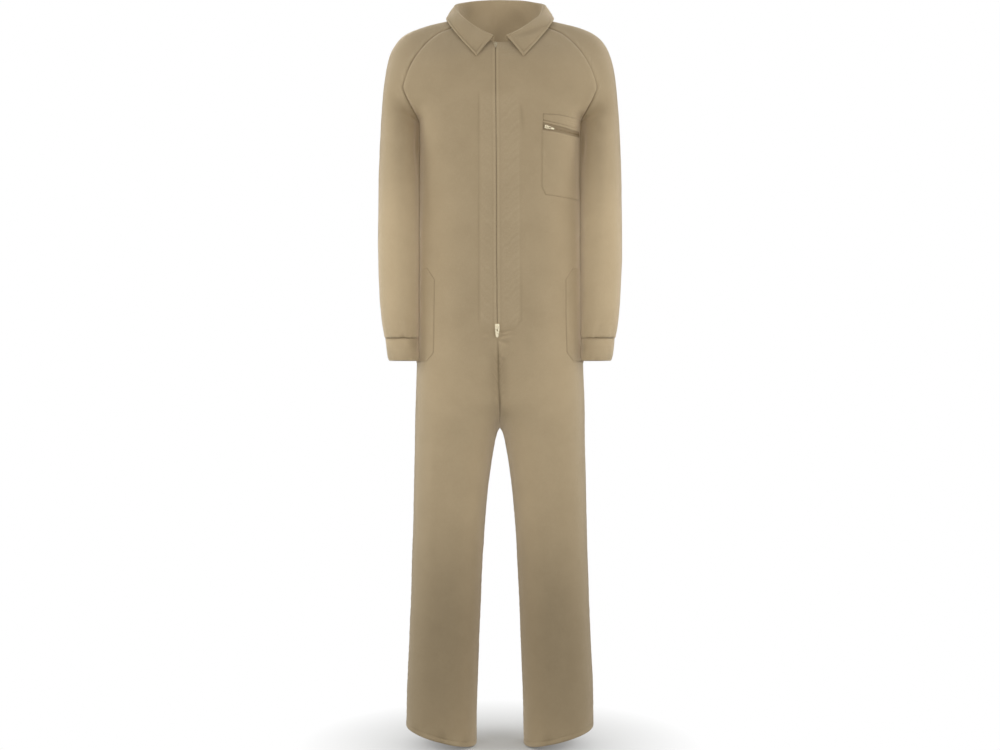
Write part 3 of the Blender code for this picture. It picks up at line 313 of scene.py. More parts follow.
def section_line(z, back):
    """The half section at height z, from the centre line or the inseam to the side seam."""
    s = sections.at(z)
    middle = 0.5 * (s.outer + s.inner)
    half = 0.5 * (s.outer - s.inner)
    start = math.pi
    if s.inner < 0.0:
        past_middle = min(max(middle / half, 0.0), 1.0)
        start = math.acos(-(past_middle ** (s.roundness / 2.0)))
    angle = np.linspace(start, 0.0, SECTION_STEPS)
    power = 2.0 / s.roundness
    x = middle + half * np.sign(np.cos(angle)) * np.abs(np.cos(angle)) ** power
    depth = (s.back_y if back else s.front_y) - s.side_y
    y = s.side_y + depth * np.abs(np.sin(angle)) ** power
    slope = HEM_SLOPE * (1.0 - ease(z, HEM_Z, HEM_Z + HEM_SLOPE_REACH))
    return np.stack([x, y, z + slope * (x - middle)], axis=1)


def heading(turn, lift, towards_back):
    turn, lift = math.radians(turn), math.radians(lift)
    flat = math.cos(lift)
    return np.array([math.cos(turn) * flat, towards_back * math.sin(turn) * flat, math.sin(lift)])


def yoke_line(row, back):
    """A yoke row, from the centre line to the side seam or the raglan seam."""
    y = (back_yoke if back else front_yoke).at(row)
    inwards = -1.0 if back else 1.0
    centre = np.array([0.0, y.y, y.z])
    seam = np.array([y.seam_x, y.seam_y, y.seam_z])
    arrive = heading(y.turn, y.lift, inwards)
    return bezier(centre, centre + (y.reach, 0.0, 0.0), seam - y.seam_reach * arrive, seam)


def body_line(row, back):
    """A row of the body, which passes from the level sections to the leaning rows of the yoke."""
    if row <= 0.0:
        return evened(section_line(row_height(row), back))
    share = ease(row, 0.0, 2.0)
    yoke = evened(yoke_line(row, back))
    if share >= 1.0:
        return yoke
    return (1.0 - share) * evened(section_line(row_height(row), back)) + share * yoke


def spread(shares, length, full_length):
    """Distances for shares of a line that is cut shorter than full_length at its far end."""
    shares = np.asarray(shares)
    pitch = min(full_length, 1.5 * length)
    missing = max(1.0 - length / pitch, 1e-6)
    return pitch * (shares - missing * shares ** min(0.75 / missing, 12.0))


CENTRE_MARGIN = 0.03         # the lines run on past the centre, for the fronts' uneven split


def panel_span(row, back, side):
    """A panel's row line with the distances along it of the centre edge and the outer edge."""
    line = body_line(row, back)
    if row_height(row) <= CROTCH_Z:
        return line, 0.0, lengths_along(line)[-1]
    edge = 0.0
    if not back:
        split = front_line.at(line[0, 2])
        edge = side * split.x + split.gap / 2
    line = np.concatenate([[line[0] - (CENTRE_MARGIN, 0.0, 0.0)], line])
    run = lengths_along(line)
    near = int(np.argmax(line[:, 0] > CENTRE_MARGIN)) + 1
    return line, np.interp(edge, line[:near, 0], run[:near]), run[-1]


FORK_LENGTH = {}


def fork_length(name, row, back, side):
    """Length of a panel's row at the crotch or at the armpit, kept because each row asks for it."""
    if (name, back, side) not in FORK_LENGTH:
        _, start, stop = panel_span(row, back, side)
        FORK_LENGTH[name, back, side] = stop - start
    return FORK_LENGTH[name, back, side]


def body_points(row, back, side, shares):
    """Points of a front or back panel on a row; share 0 is its centre edge and 1 its outer edge."""
    line, start, stop = panel_span(row, back, side)
    length = stop - start
    shares = np.asarray(shares)
    crotch_row = row_of(CROTCH_Z)
    if row <= crotch_row + HIP_ROWS:
        fork = fork_length("crotch", crotch_row, back, side)
        full = fork + (length - fork) * ease(row, crotch_row, crotch_row + HIP_ROWS)
        if row <= crotch_row:
            full = length
        return points_along(line, stop - spread(1.0 - shares, length, full))
    if row > ARMPIT_ROW:
        fork = fork_length("armpit", ARMPIT_ROW, back, side)
        full = fork + (length - fork) * ease(row, ARMPIT_ROW, HEAD_ROW)
        return points_along(line, start + spread(shares, length, full))
    return points_along(line, start + shares * length)


def over_the_arm(front, rear, shares, full_lengths=None):
    """Points on a sleeve ring given as two lines: share 0 at the start of front, 0.5 over the arm."""
    shares = np.asarray(shares)
    from_over = np.abs(2.0 * shares - 1.0)
    result = np.empty((len(shares), 3))
    for line, chosen, index in ((front[::-1], shares <= 0.5, 0), (rear, shares > 0.5, 1)):
        length = lengths_along(line)[-1]
        full = full_lengths[index] if full_lengths else length
        result[chosen] = points_along(line, spread(from_over[chosen], length, full))
    return result


BEZIER_BELLY = 0.75          # how far the middle of a cubic line goes towards its two handles


def tube_lines(tube):
    """The front and the rear half of a ring of the sleeve or the cuff, from its inner side round."""
    inner, outer = np.array([tube.inner, tube.y, tube.z]), np.array([tube.outer, tube.y, tube.z])
    ahead = np.array([0.0, -tube.depth / BEZIER_BELLY, 0.0])
    front = bezier(inner, inner + ahead, outer + ahead, outer)
    return front, bezier(outer, outer - ahead, inner - ahead, inner)


def tube_points(tube, shares):
    front, rear = tube_lines(tube)
    return over_the_arm(front, rear, shares)


def sleeve_height(row):
    return OVERARM[0].z + ROW_PITCH * (row - ARMPIT_ROW)


def sleeve_row(z):
    return ARMPIT_ROW + (z - OVERARM[0].z) / ROW_PITCH


RING_HALF = lengths_along(tube_lines(sleeve_tube.at(OVERARM[0].z))[0])[-1]


def sleeve_points(row, shares):
    """A sleeve ring from the underarm or the front seam, over the arm, to the back seam."""
    if row <= ARMPIT_ROW:
        return tube_points(sleeve_tube.at(sleeve_height(row)), shares)
    f, b, o = front_yoke.at(row), back_yoke.at(row), overarm.at(row)
    over = np.array([o.x, o.y, o.z])
    front_seam = np.array([f.seam_x, f.seam_y, f.seam_z])
    back_seam = np.array([b.seam_x, b.seam_y, b.seam_z])
    front = bezier(front_seam, front_seam + f.sleeve_reach * heading(f.sleeve_turn, f.lift, 1.0),
                   over - (0.0, f.over_reach, 0.0), over)
    rear = bezier(over, over + (0.0, b.over_reach, 0.0),
                  back_seam + b.sleeve_reach * heading(b.sleeve_turn, b.lift, -1.0), back_seam)
    share = ease(row, ARMPIT_ROW, HEAD_ROW)
    full_lengths = [RING_HALF + (lengths_along(line)[-1] - RING_HALF) * share for line in (front, rear)]
    return over_the_arm(front, rear, shares, full_lengths)


# ---------------------------------------------------------------- folds
# A fold follows a line of places; heights are in millimetres at its start, middle and end, a ridge
# above 0 and a trough below.  Places are (x, z) on the fronts and backs, in metres.  On the sleeves
# they are (distance round from the top of the arm, z), with the front below 0.
Fold = namedtuple("Fold", "width start middle end places")

FRONT_FOLDS_BOTH = [
    Fold(0.021, -1.0, -2.4, -0.5, [(0.046, -0.226), (0.068, -0.268), (0.094, -0.318), (0.116, -0.352)]),
    Fold(0.024, -0.8, -1.9, -0.4, [(0.046, -0.399), (0.058, -0.446), (0.074, -0.488), (0.088, -0.520)]),
    Fold(0.018, -0.7, -1.5, -0.3, [(0.046, -0.570), (0.052, -0.592), (0.064, -0.622)]),
    Fold(0.024, 0.3, 1.6, 0.2, [(0.134, -0.235), (0.137, -0.300), (0.136, -0.370), (0.130, -0.470)]),
    Fold(0.023, 0.8, 8.2, 0.8, [(0.154, -0.245), (0.157, -0.340), (0.158, -0.560), (0.158, -0.900)]),
    Fold(0.020, 0.2, 1.1, 0.1, [(0.052, -0.640), (0.064, -0.690), (0.084, -0.740), (0.112, -0.790)]),
    Fold(0.022, -0.2, -1.1, -0.1, [(0.030, -0.690), (0.036, -0.760), (0.040, -0.830), (0.046, -0.900)]),
    Fold(0.026, 0.1, 0.9, 0.1, [(0.078, -0.780), (0.086, -0.860), (0.092, -0.930)]),
    Fold(0.014, -0.1, -0.8, -0.1, [(0.022, -0.910), (0.044, -0.950), (0.062, -1.010)]),
    Fold(0.030, 0.1, 1.2, 0.2, [(0.112, -1.080), (0.116, -1.250), (0.124, -1.420)]),
    Fold(0.018, -0.2, -0.8, -0.1, [(0.140, -1.120), (0.118, -1.150), (0.086, -1.160)]),
    Fold(0.016, -0.1, -0.6, -0.1, [(0.155, -1.210), (0.128, -1.224), (0.098, -1.218)]),
    Fold(0.010, -0.3, -0.9, -0.2, [(0.170, -0.200), (0.154, -0.188), (0.132, -0.168)]),
    Fold(0.012, 0.2, 0.8, 0.1, [(0.174, -0.222), (0.156, -0.214), (0.136, -0.196)]),
]
FRONT_FOLDS_RIGHT = [
    Fold(0.006, -0.5, -1.0, -0.2, [(-0.034, -0.6942), (-0.0207, -0.6900)]),
    Fold(0.005, 0.3, 0.6, 0.1, [(-0.034, -0.7005), (-0.0210, -0.6975)]),
    Fold(0.009, -0.3, -0.8, -0.1, [(-0.062, -0.163), (-0.034, -0.150), (-0.010, -0.152)]),
    Fold(0.015, -0.2, -1.0, -0.1, [(-0.020, -0.735), (-0.026, -0.790), (-0.030, -0.850)]),
]
FRONT_FOLDS_LEFT = [
    Fold(0.0035, -1.4, -1.6, -0.3, [(0.0035, -0.6895), (0.0180, -0.6868), (0.0305, -0.6838)]),
    Fold(0.0042, 1.0, 1.3, 0.2, [(0.0035, -0.6940), (0.0185, -0.6912), (0.0310, -0.6880)]),
    Fold(0.0036, -1.2, -1.4, -0.2, [(0.0060, -0.6968), (0.0180, -0.6935), (0.0305, -0.6892)]),
    Fold(0.0046, 0.8, 1.2, 0.2, [(0.0040, -0.7030), (0.0170, -0.7000), (0.0270, -0.6950)]),
    Fold(0.0050, -1.0, -1.2, -0.2, [(0.0010, -0.7080), (0.0120, -0.7130), (0.0200, -0.7190)]),
    Fold(0.0100, 0.4, 1.8, 0.2, [(0.0195, -0.7060), (0.0190, -0.7200), (0.0140, -0.7420)]),
    Fold(0.0045, -1.0, -1.5, -0.2, [(0.0010, -0.7440), (0.0055, -0.7480), (0.0095, -0.7570)]),
    Fold(0.0040, 0.6, 1.2, 0.2, [(0.0020, -0.7380), (0.0080, -0.7400), (0.0150, -0.7440)]),
    Fold(0.0040, -0.6, -1.0, -0.1, [(0.0010, -0.7600), (0.0050, -0.7650), (0.0060, -0.7740)]),
    Fold(0.0120, -0.3, -1.2, -0.2, [(0.0270, -0.7160), (0.0300, -0.7500), (0.0260, -0.7900)]),
    Fold(0.0035, -0.5, -0.7, -0.1, [(0.0010, -0.0935), (0.0110, -0.0935), (0.0220, -0.0920)]),
    Fold(0.0035, -0.5, -0.7, -0.1, [(0.0010, -0.1060), (0.0130, -0.1068), (0.0240, -0.1050)]),
    Fold(0.0090, -0.3, -0.8, -0.1, [(0.0680, -0.170), (0.0400, -0.158), (0.0120, -0.150)]),
    Fold(0.0060, 0.3, 0.8, 0.1, [(0.0900, -0.405), (0.1200, -0.409), (0.1500, -0.414)]),
]
BACK_FOLDS_BOTH = [
    Fold(0.026, -0.4, -2.4, -0.4, [(0.030, -0.470), (0.068, -0.500), (0.110, -0.505), (0.148, -0.490)]),
    Fold(0.022, 0.3, 1.8, 0.3, [(0.020, -0.520), (0.060, -0.545), (0.104, -0.550)]),
    Fold(0.020, -0.3, -1.7, -0.2, [(0.044, -0.585), (0.084, -0.590), (0.126, -0.570)]),
    Fold(0.024, -0.6, -2.2, -0.3, [(0.012, -0.905), (0.040, -0.945), (0.078, -0.965), (0.120, -0.968)]),
    Fold(0.018, 0.4, 1.6, 0.2, [(0.030, -0.975), (0.066, -1.000), (0.104, -1.005)]),
    Fold(0.018, -0.4, -1.5, -0.2, [(0.032, -1.020), (0.064, -1.042), (0.100, -1.040)]),
    Fold(0.020, -0.6, -2.0, -0.2, [(0.172, -0.235), (0.140, -0.262), (0.108, -0.312), (0.088, -0.372)]),
    Fold(0.018, 0.4, 1.5, 0.2, [(0.176, -0.265), (0.152, -0.300), (0.136, -0.360), (0.128, -0.430)]),
    Fold(0.020, -0.2, -1.4, -0.2, [(0.150, -1.120), (0.116, -1.148), (0.082, -1.150)]),
    Fold(0.018, 0.2, 1.1, 0.2, [(0.146, -1.180), (0.110, -1.200), (0.076, -1.190)]),
    Fold(0.016, -0.2, -1.0, -0.1, [(0.160, -1.240), (0.128, -1.262), (0.098, -1.258)]),
    Fold(0.030, 0.2, 1.6, 0.3, [(0.114, -1.290), (0.120, -1.420), (0.128, -1.540)]),
    Fold(0.020, -0.2, -1.1, -0.1, [(0.118, -0.080), (0.090, -0.105), (0.050, -0.112)]),
]
BACK_FOLDS_LEFT = [
    Fold(0.014, -0.3, -1.3, -0.1, [(0.010, -0.420), (0.044, -0.432), (0.080, -0.426)]),
    Fold(0.012, 0.3, 1.0, 0.1, [(0.060, -1.075), (0.092, -1.086), (0.130, -1.070)]),
]
BACK_FOLDS_RIGHT = [
    Fold(0.016, -0.3, -1.4, -0.1, [(-0.060, -0.640), (-0.096, -0.652), (-0.136, -0.640)]),
    Fold(0.012, -0.3, -1.0, -0.1, [(-0.070, -1.090), (-0.104, -1.102), (-0.140, -1.090)]),
]
SLEEVE_FOLDS = [
    Fold(0.014, -0.8, -2.6, -0.6, [(-0.170, -0.236), (-0.166, -0.275), (-0.172, -0.310), (-0.186, -0.345)]),
    Fold(0.012, 0.6, 2.2, 0.3, [(-0.186, -0.240), (-0.190, -0.280), (-0.196, -0.320)]),
    Fold(0.018, -0.5, -1.8, -0.2, [(-0.150, -0.215), (-0.120, -0.250), (-0.090, -0.300)]),
    Fold(0.020, 0.2, 1.4, 0.2, [(-0.110, -0.300), (-0.100, -0.380), (-0.104, -0.470)]),
    Fold(0.016, -0.2, -1.3, -0.2, [(-0.176, -0.420), (-0.140, -0.436), (-0.100, -0.430)]),
    Fold(0.014, 0.2, 1.0, 0.2, [(-0.180, -0.455), (-0.146, -0.466), (-0.112, -0.462)]),
    Fold(0.014, -0.2, -1.2, -0.2, [(-0.170, -0.490), (-0.138, -0.506), (-0.104, -0.500)]),
    Fold(0.020, -0.2, -1.6, -0.3, [(0.070, -0.350), (0.100, -0.390), (0.140, -0.400), (0.180, -0.386)]),
    Fold(0.018, 0.2, 1.4, 0.2, [(0.080, -0.420), (0.116, -0.440), (0.160, -0.440)]),
    Fold(0.016, -0.2, -1.3, -0.2, [(0.090, -0.470), (0.124, -0.486), (0.166, -0.480)]),
    Fold(0.020, -0.8, -2.2, -0.3, [(0.168, -0.232), (0.140, -0.268), (0.110, -0.320)]),
    Fold(0.022, 0.2, 1.2, 0.2, [(0.030, -0.260), (0.036, -0.360), (0.030, -0.480)]),
    Fold(0.0060, -0.2, -1.7, -1.6, [(-0.104, -0.655), (-0.108, -0.676), (-0.118, -0.7005)]),
    Fold(0.0070, 0.2, 1.5, 1.2, [(-0.120, -0.650), (-0.126, -0.676), (-0.132, -0.7005)]),
    Fold(0.0060, -0.1, -1.2, -1.4, [(-0.060, -0.668), (-0.062, -0.684), (-0.058, -0.7005)]),
    Fold(0.0070, -0.1, -1.3, -1.6, [(0.060, -0.652), (0.058, -0.676), (0.050, -0.7005)]),
    Fold(0.0070, 0.1, 1.2, 1.2, [(0.084, -0.650), (0.082, -0.676), (0.076, -0.7005)]),
    Fold(0.0060, -0.1, -1.3, -1.6, [(0.110, -0.660), (0.106, -0.680), (0.100, -0.7005)]),
    Fold(0.0060, -0.1, -1.1, -1.4, [(0.150, -0.664), (0.150, -0.682), (0.146, -0.7005)]),
]


CURVE_STEPS = 5
FOLD_SHOULDER = 0.45         # how far the foot of a fold turns the other way


def curve_through(places):
    """A smooth line through a fold's places."""
    p = np.array(places, dtype=float)
    if len(p) == 2:
        return p
    ends = np.concatenate([[2 * p[0] - p[1]], p, [2 * p[-1] - p[-2]]])
    result = [p[0]]
    for a, b, c, d in zip(ends[:-3], ends[1:-2], ends[2:-1], ends[3:]):
        for t in np.linspace(0.0, 1.0, CURVE_STEPS + 1)[1:]:
            result.append(0.5 * ((2 * b) + (c - a) * t + (2 * a - 5 * b + 4 * c - d) * t * t
                                 + (3 * b - a - 3 * c + d) * t ** 3))
    return np.array(result)


def along_line(a, b, places):
    """For places (a, b): the distance to the line, and the share of the way along it."""
    line = curve_through(places)
    run = lengths_along(line)
    nearest = np.full(a.shape, 1e9)
    share = np.zeros(a.shape)
    for i in range(len(line) - 1):
        step = line[i + 1] - line[i]
        t = np.clip(((a - line[i, 0]) * step[0] + (b - line[i, 1]) * step[1]) / step.dot(step), 0.0, 1.0)
        gap = np.hypot(a - line[i, 0] - t * step[0], b - line[i, 1] - t * step[1])
        closer = gap < nearest
        nearest = np.where(closer, gap, nearest)
        share = np.where(closer, (run[i] + t * (run[i + 1] - run[i])) / run[-1], share)
    return nearest, share


def fold_heights(a, b, folds):
    """Heights of folds at places (a, b), in metres."""
    total = np.zeros(a.shape)
    for fold in folds:
        gap, share = along_line(a, b, fold.places)
        u = gap / fold.width
        early = ease(share, 0.0, 0.5)
        late = ease(share, 0.5, 1.0)
        strength = fold.start + (fold.middle - fold.start) * early + (fold.end - fold.middle) * late
        total += MILLIMETRE * strength * (1.0 - FOLD_SHOULDER * u * u) * np.exp(-u * u)
    return total


def ripple(distance, pitch, seed):
    """An uneven wave along a seam, between -1 and 1."""
    rng = np.random.default_rng(seed)
    result = np.zeros(distance.shape)
    for share, weight in ((1.0, 0.55), (0.63, 0.35), (1.47, 0.30), (0.41, 0.25)):
        wave = 2.0 * math.pi / (pitch / share)
        result += weight * np.sin(wave * distance + rng.uniform(0.0, 2.0 * math.pi)
                                  + 0.9 * np.sin(wave * 0.23 * distance + rng.uniform(0.0, 6.0)))
    return result


UNDULATIONS = 14


def undulation(a, b, size, seed):
    """Soft unevenness of the cloth, between about -1 and 1, over areas of the given size."""
    rng = np.random.default_rng(seed)
    result = np.zeros(a.shape)
    for _ in range(UNDULATIONS):
        turn = rng.uniform(0.0, math.pi)
        wave = 2.0 * math.pi / (size * rng.uniform(0.6, 1.8))
        result += np.sin(wave * (a * math.cos(turn) + b * math.sin(turn)) + rng.uniform(0.0, 6.3))
    return result / 5.0


# ---------------------------------------------------------------- grids of cloth
NEAR_EDGES = (0.0, 0.0008, 0.0020, 0.0036, 0.0058, 0.0090, 0.0135)
UNSOFTENED, SOFTENED = 0.003, 0.030          # distances from an edge


def close_at_edges(width, steps, near=NEAR_EDGES):
    """Shares across a piece of this width, closer together near its two edges."""
    near = np.array(near) / width
    middle = np.linspace(near[-1], 1.0 - near[-1], steps)
    return np.concatenate([near[:-1], middle, (1.0 - near[:-1])[::-1]])


def softened(points, reach):
    """The grid with its rows blended over reach rows, which leaves its edges where they are."""
    half = 3 * reach
    kernel = np.exp(-0.5 * (np.arange(-half, half + 1) / reach) ** 2)
    kernel /= kernel.sum()
    before = 2 * points[:1] - points[half:0:-1]
    after = 2 * points[-1:] - points[-2:-half - 2:-1]
    padded = np.concatenate([before, points, after])
    blended = np.zeros_like(points)
    for i, weight in enumerate(kernel):
        blended += weight * padded[i:i + len(points)]
    across = np.linalg.norm(np.diff(points, axis=1), axis=2).cumsum(axis=1)
    across = np.concatenate([np.zeros((len(points), 1)), across], axis=1)
    from_edge = np.minimum(across, across[:, -1:] - across)
    share = ease(from_edge, UNSOFTENED, SOFTENED)[:, :, None]
    return points + share * (blended - points)


def steepness(points, flip, ring_rows=0):
    """Outward normals of a grid of points; in the first ring_rows rows the last column is the first."""
    along = np.gradient(points, axis=0)
    across = np.gradient(points, axis=1)
    if ring_rows:
        joint = points[:ring_rows, 1] - points[:ring_rows, -2]
        across[:ring_rows, 0] = across[:ring_rows, -1] = joint
    normals = np.cross(across, along) * (-1.0 if flip else 1.0)
    return normals / np.maximum(np.linalg.norm(normals, axis=2), 1e-12)[:, :, None]


def distances(points, axis):
    """Distance of each point from the grid's first row or column, along the cloth."""
    steps = np.linalg.norm(np.diff(points, axis=axis), axis=2).cumsum(axis=axis)
    start = np.zeros_like(steps[:1] if axis == 0 else steps[:, :1])
    return np.concatenate([start, steps], axis=axis)


def bump_at(distance, place, width):
    return np.exp(-((distance - place) / width) ** 2)


# A crease runs along an edge, at a place that far in from it: a ridge above 0 or a dip below it.
Crease = namedtuple("Crease", "height place width")


def creases(distance, listed):
    """Heights of the listed creases, at distances from the edge that they run along."""
    return sum(crease.height * bump_at(distance, crease.place, crease.width) for crease in listed)


def quads_of(index):
    """Four-sided faces between the numbered points of a grid."""
    a, b, c, d = index[:-1, :-1], index[:-1, 1:], index[1:, 1:], index[1:, :-1]
    return np.stack([a, b, c, d], axis=2).reshape(-1, 4)


class Cloth:
    """A piece of cloth as a grid: its rows, shares, outer points, normals and places on the flat cloth."""

    def __init__(self, rows, shares, points, flip, ring_rows=0):
        self.rows, self.shares, self.flip, self.ring_rows = rows, shares, flip, ring_rows
        self.points = points
        self.normals = steepness(points, flip, ring_rows)
        self.from_start = distances(points, 1)
        self.from_end = self.from_start[:, -1:] - self.from_start
        self.from_bottom = distances(points, 0)
        self.from_top = self.from_bottom[-1:] - self.from_bottom
        middle = len(shares) // 2
        u = self.from_start - self.from_start[:, middle:middle + 1]
        v = np.repeat(self.from_bottom[:, middle:middle + 1], len(shares), axis=1)
        self.places = np.stack([u, v, np.zeros_like(u)], axis=2)
        self.relief = np.zeros(u.shape)

    def raise_by(self, heights, relief):
        """Moves the cloth out by heights; relief is the part of them that is painted into the colour,
        lighter where rubbed on ridges and as painted shade in dips.
        """
        self.relief = relief
        self.points = self.points + heights[:, :, None] * self.normals
        self.normals = steepness(self.points, self.flip, self.ring_rows)

    def at(self, rows, shares):
        """Points, normals and flat places at any rows and shares."""
        i = np.interp(rows, self.rows, np.arange(len(self.rows)))
        j = np.interp(shares, self.shares, np.arange(len(self.shares)))
        i0 = np.minimum(i.astype(int), len(self.rows) - 2)
        j0 = np.minimum(j.astype(int), len(self.shares) - 2)
        a, b = (i - i0)[..., None], (j - j0)[..., None]
        found = []
        for grid in (self.points, self.normals, self.places):
            low = grid[i0, j0] * (1 - b) + grid[i0, j0 + 1] * b
            high = grid[i0 + 1, j0] * (1 - b) + grid[i0 + 1, j0 + 1] * b
            found.append(low * (1 - a) + high * a)
        found[1] = unit(found[1])
        return found


# ---------------------------------------------------------------- finishes
def put(tree, source, socket):
    if isinstance(source, bpy.types.NodeSocket):
        tree.links.new(source, socket)
    else:
        socket.default_value = source


def add_node(tree, kind, inputs=None, **settings):
    made = tree.nodes.new(kind)
    for key, value in settings.items():
        setattr(made, key, value)
    for key, source in (inputs or {}).items():
        put(tree, source, made.inputs[key])
    return made


def maths(tree, operation, a, b=0.0, c=0.0):
    return add_node(tree, "ShaderNodeMath", {0: a, 1: b, 2: c}, operation=operation).outputs[0]


def ranged(tree, value, low, high, new_low=0.0, new_high=1.0):
    found = add_node(tree, "ShaderNodeMapRange", {0: value, 1: low, 2: high, 3: new_low, 4: new_high})
    return found.outputs[0]


def noise(tree, place, scale, detail, roughness=0.5):
    found = add_node(tree, "ShaderNodeTexNoise", {"Vector": place, "Scale": scale, "Detail": detail,
                                                  "Roughness": roughness})
    return found.outputs["Fac"]


def stretched(tree, place, scale):
    found = add_node(tree, "ShaderNodeVectorMath", {0: place, 1: scale}, operation="MULTIPLY")
    return found.outputs[0]


def blended(tree, share, one, other):
    found = add_node(tree, "ShaderNodeMix", data_type="RGBA")
    put(tree, share, found.inputs["Factor"])
    put(tree, one, [s for s in found.inputs if s.name == "A" and s.type == "RGBA"][0])
    put(tree, other, [s for s in found.inputs if s.name == "B" and s.type == "RGBA"][0])
    return [s for s in found.outputs if s.type == "RGBA"][0]


def new_group(name, inputs, outputs):
    """A shader node group with named sockets; inputs are (name, kind, value)."""
    group = bpy.data.node_groups.new(name, "ShaderNodeTree")
    for label, kind, value in inputs:
        socket = group.interface.new_socket(name=label, in_out="INPUT", socket_type="NodeSocket" + kind)
        if value is not None:
            socket.default_value = value
    for label, kind in outputs:
        group.interface.new_socket(name=label, in_out="OUTPUT", socket_type="NodeSocket" + kind)
    return group, group.nodes.new("NodeGroupInput").outputs, group.nodes.new("NodeGroupOutput").inputs


def twill_weave():
    """Slanted ribs of twill, each broken up by its threads.  Place is in metres on the flat cloth."""
    group, given, result = new_group(
        "twill_weave", [("Place", "Vector", None), ("Rib Pitch", "Float", 0.0007), ("Slant", "Float", 1.6),
                        ("Unevenness", "Float", 0.4)], [("Height", "Float")])
    axes = add_node(group, "ShaderNodeSeparateXYZ", {0: given["Place"]}).outputs
    wave = maths(group, "DIVIDE", 2.0 * math.pi, given["Rib Pitch"])
    wander = maths(group, "MULTIPLY", noise(group, given["Place"], 260.0, 3.0), given["Unevenness"])
    slanted = maths(group, "ADD", axes[0], maths(group, "MULTIPLY", axes[1], given["Slant"]))
    wander = maths(group, "MULTIPLY", wander, 9.0)
    turn = maths(group, "ADD", maths(group, "MULTIPLY", slanted, wave), wander)
    rib = maths(group, "MULTIPLY_ADD", maths(group, "SINE", turn), 0.5, 0.5)
    across = maths(group, "SINE", maths(group, "MULTIPLY", axes[1], maths(group, "MULTIPLY", wave, 1.9)))
    threads = maths(group, "MULTIPLY_ADD", across, 0.18, 0.82)
    group.links.new(maths(group, "MULTIPLY", rib, threads), result["Height"])
    return group


def cloth_mottle():
    """Soft patches of lighter and darker dye, and fine slubs along the threads."""
    group, given, result = new_group(
        "cloth_mottle", [("Place", "Vector", None), ("Patch Size", "Float", 0.05),
                         ("Slub Length", "Float", 0.012)], [("Patches", "Float"), ("Slubs", "Float")])
    scale = maths(group, "DIVIDE", 1.0, given["Patch Size"])
    patches = noise(group, given["Place"], scale, 4.0, 0.55)
    group.links.new(ranged(group, patches, 0.30, 0.70), result["Patches"])
    along = maths(group, "DIVIDE", 1.0, given["Slub Length"])
    upright = add_node(group, "ShaderNodeCombineXYZ", {0: 1400.0, 1: along, 2: 1.0}).outputs[0]
    lying = add_node(group, "ShaderNodeCombineXYZ", {0: along, 1: 1700.0, 2: 1.0}).outputs[0]
    slubs = [noise(group, stretched(group, given["Place"], way), 1.0, 1.0) for way in (upright, lying)]
    both = maths(group, "MAXIMUM", slubs[0], slubs[1])
    group.links.new(ranged(group, both, 0.50, 0.78), result["Slubs"])
    return group


def relief_wear_and_shade():
    """Rubbed lighter tops of ridges and seams, and painted shade in dips, seams and creases, from the height
    of the sewn relief in mm.
    """
    group, given, result = new_group(
        "relief_wear_and_shade", [("Relief", "Float", 0.0), ("Place", "Vector", None), ("Wear", "Float", 1.0)],
        [("Ridges", "Float"), ("Dip Shade", "Float")])
    rubbed = ranged(group, noise(group, given["Place"], 320.0, 3.0), 0.30, 0.65, 0.35, 1.0)
    ridge = maths(group, "MULTIPLY", ranged(group, given["Relief"], 0.10, 0.90), rubbed)
    group.links.new(maths(group, "MULTIPLY", ridge, given["Wear"]), result["Ridges"])
    # Painted shade: darker the deeper the relief dips.
    dip = ranged(group, given["Relief"], -0.08, -1.1)
    group.links.new(maths(group, "MULTIPLY", dip, given["Wear"]), result["Dip Shade"])
    return group


def cloth_colour():
    """The dyed colour, lighter on rubbed ridges and slubs, darker between threads, and darkened by painted
    shade in dips.
    """
    inputs = [("Colour", "Color", (0.4, 0.3, 0.2, 1.0)), ("Light", "Color", (0.5, 0.4, 0.28, 1.0)),
              ("Dark", "Color", (0.2, 0.15, 0.09, 1.0)), ("Patches", "Float", 0.5), ("Slubs", "Float", 0.0),
              ("Ridges", "Float", 0.0), ("Dip Shade", "Float", 0.0), ("Thread", "Float", 0.5)]
    group, given, result = new_group("cloth_colour", inputs, [("Colour", "Color")])
    patched = maths(group, "MULTIPLY", given["Patches"], 0.10)
    colour = blended(group, patched, given["Colour"], given["Dark"])
    colour = blended(group, maths(group, "MULTIPLY", given["Slubs"], 0.16), colour, given["Light"])
    colour = blended(group, ranged(group, given["Thread"], 0.55, 0.0, 0.0, 0.14), colour, given["Dark"])
    colour = blended(group, maths(group, "MULTIPLY", given["Ridges"], 0.30), colour, given["Light"])
    # Painted shade in dips, seams and creases, blended towards the dark colour.
    colour = blended(group, maths(group, "MULTIPLY", given["Dip Shade"], 0.62), colour, given["Dark"])
    group.links.new(colour, result["Colour"])
    return group


WEAVE, MOTTLE, RELIEF, DYE = twill_weave(), cloth_mottle(), relief_wear_and_shade(), cloth_colour()


def placed(tree, group, inputs):
    made = add_node(tree, "ShaderNodeGroup", node_tree=group)
    for key, source in inputs.items():
        put(tree, source, made.inputs[key])
    return made.outputs


def new_finish(name):
    """A new material, its node tree and its main shader."""
    finish = bpy.data.materials.new(name)
    finish.use_nodes = True
    return finish, finish.node_tree, finish.node_tree.nodes["Principled BSDF"]


# One weight in each sets both the rubbed lightening of ridges and the painted shade in dips.
Dyed = namedtuple("Dyed", "colour light dark roughness sheen pitch slant patch slub wear bump")
THREAD_RELIEF = 0.00025


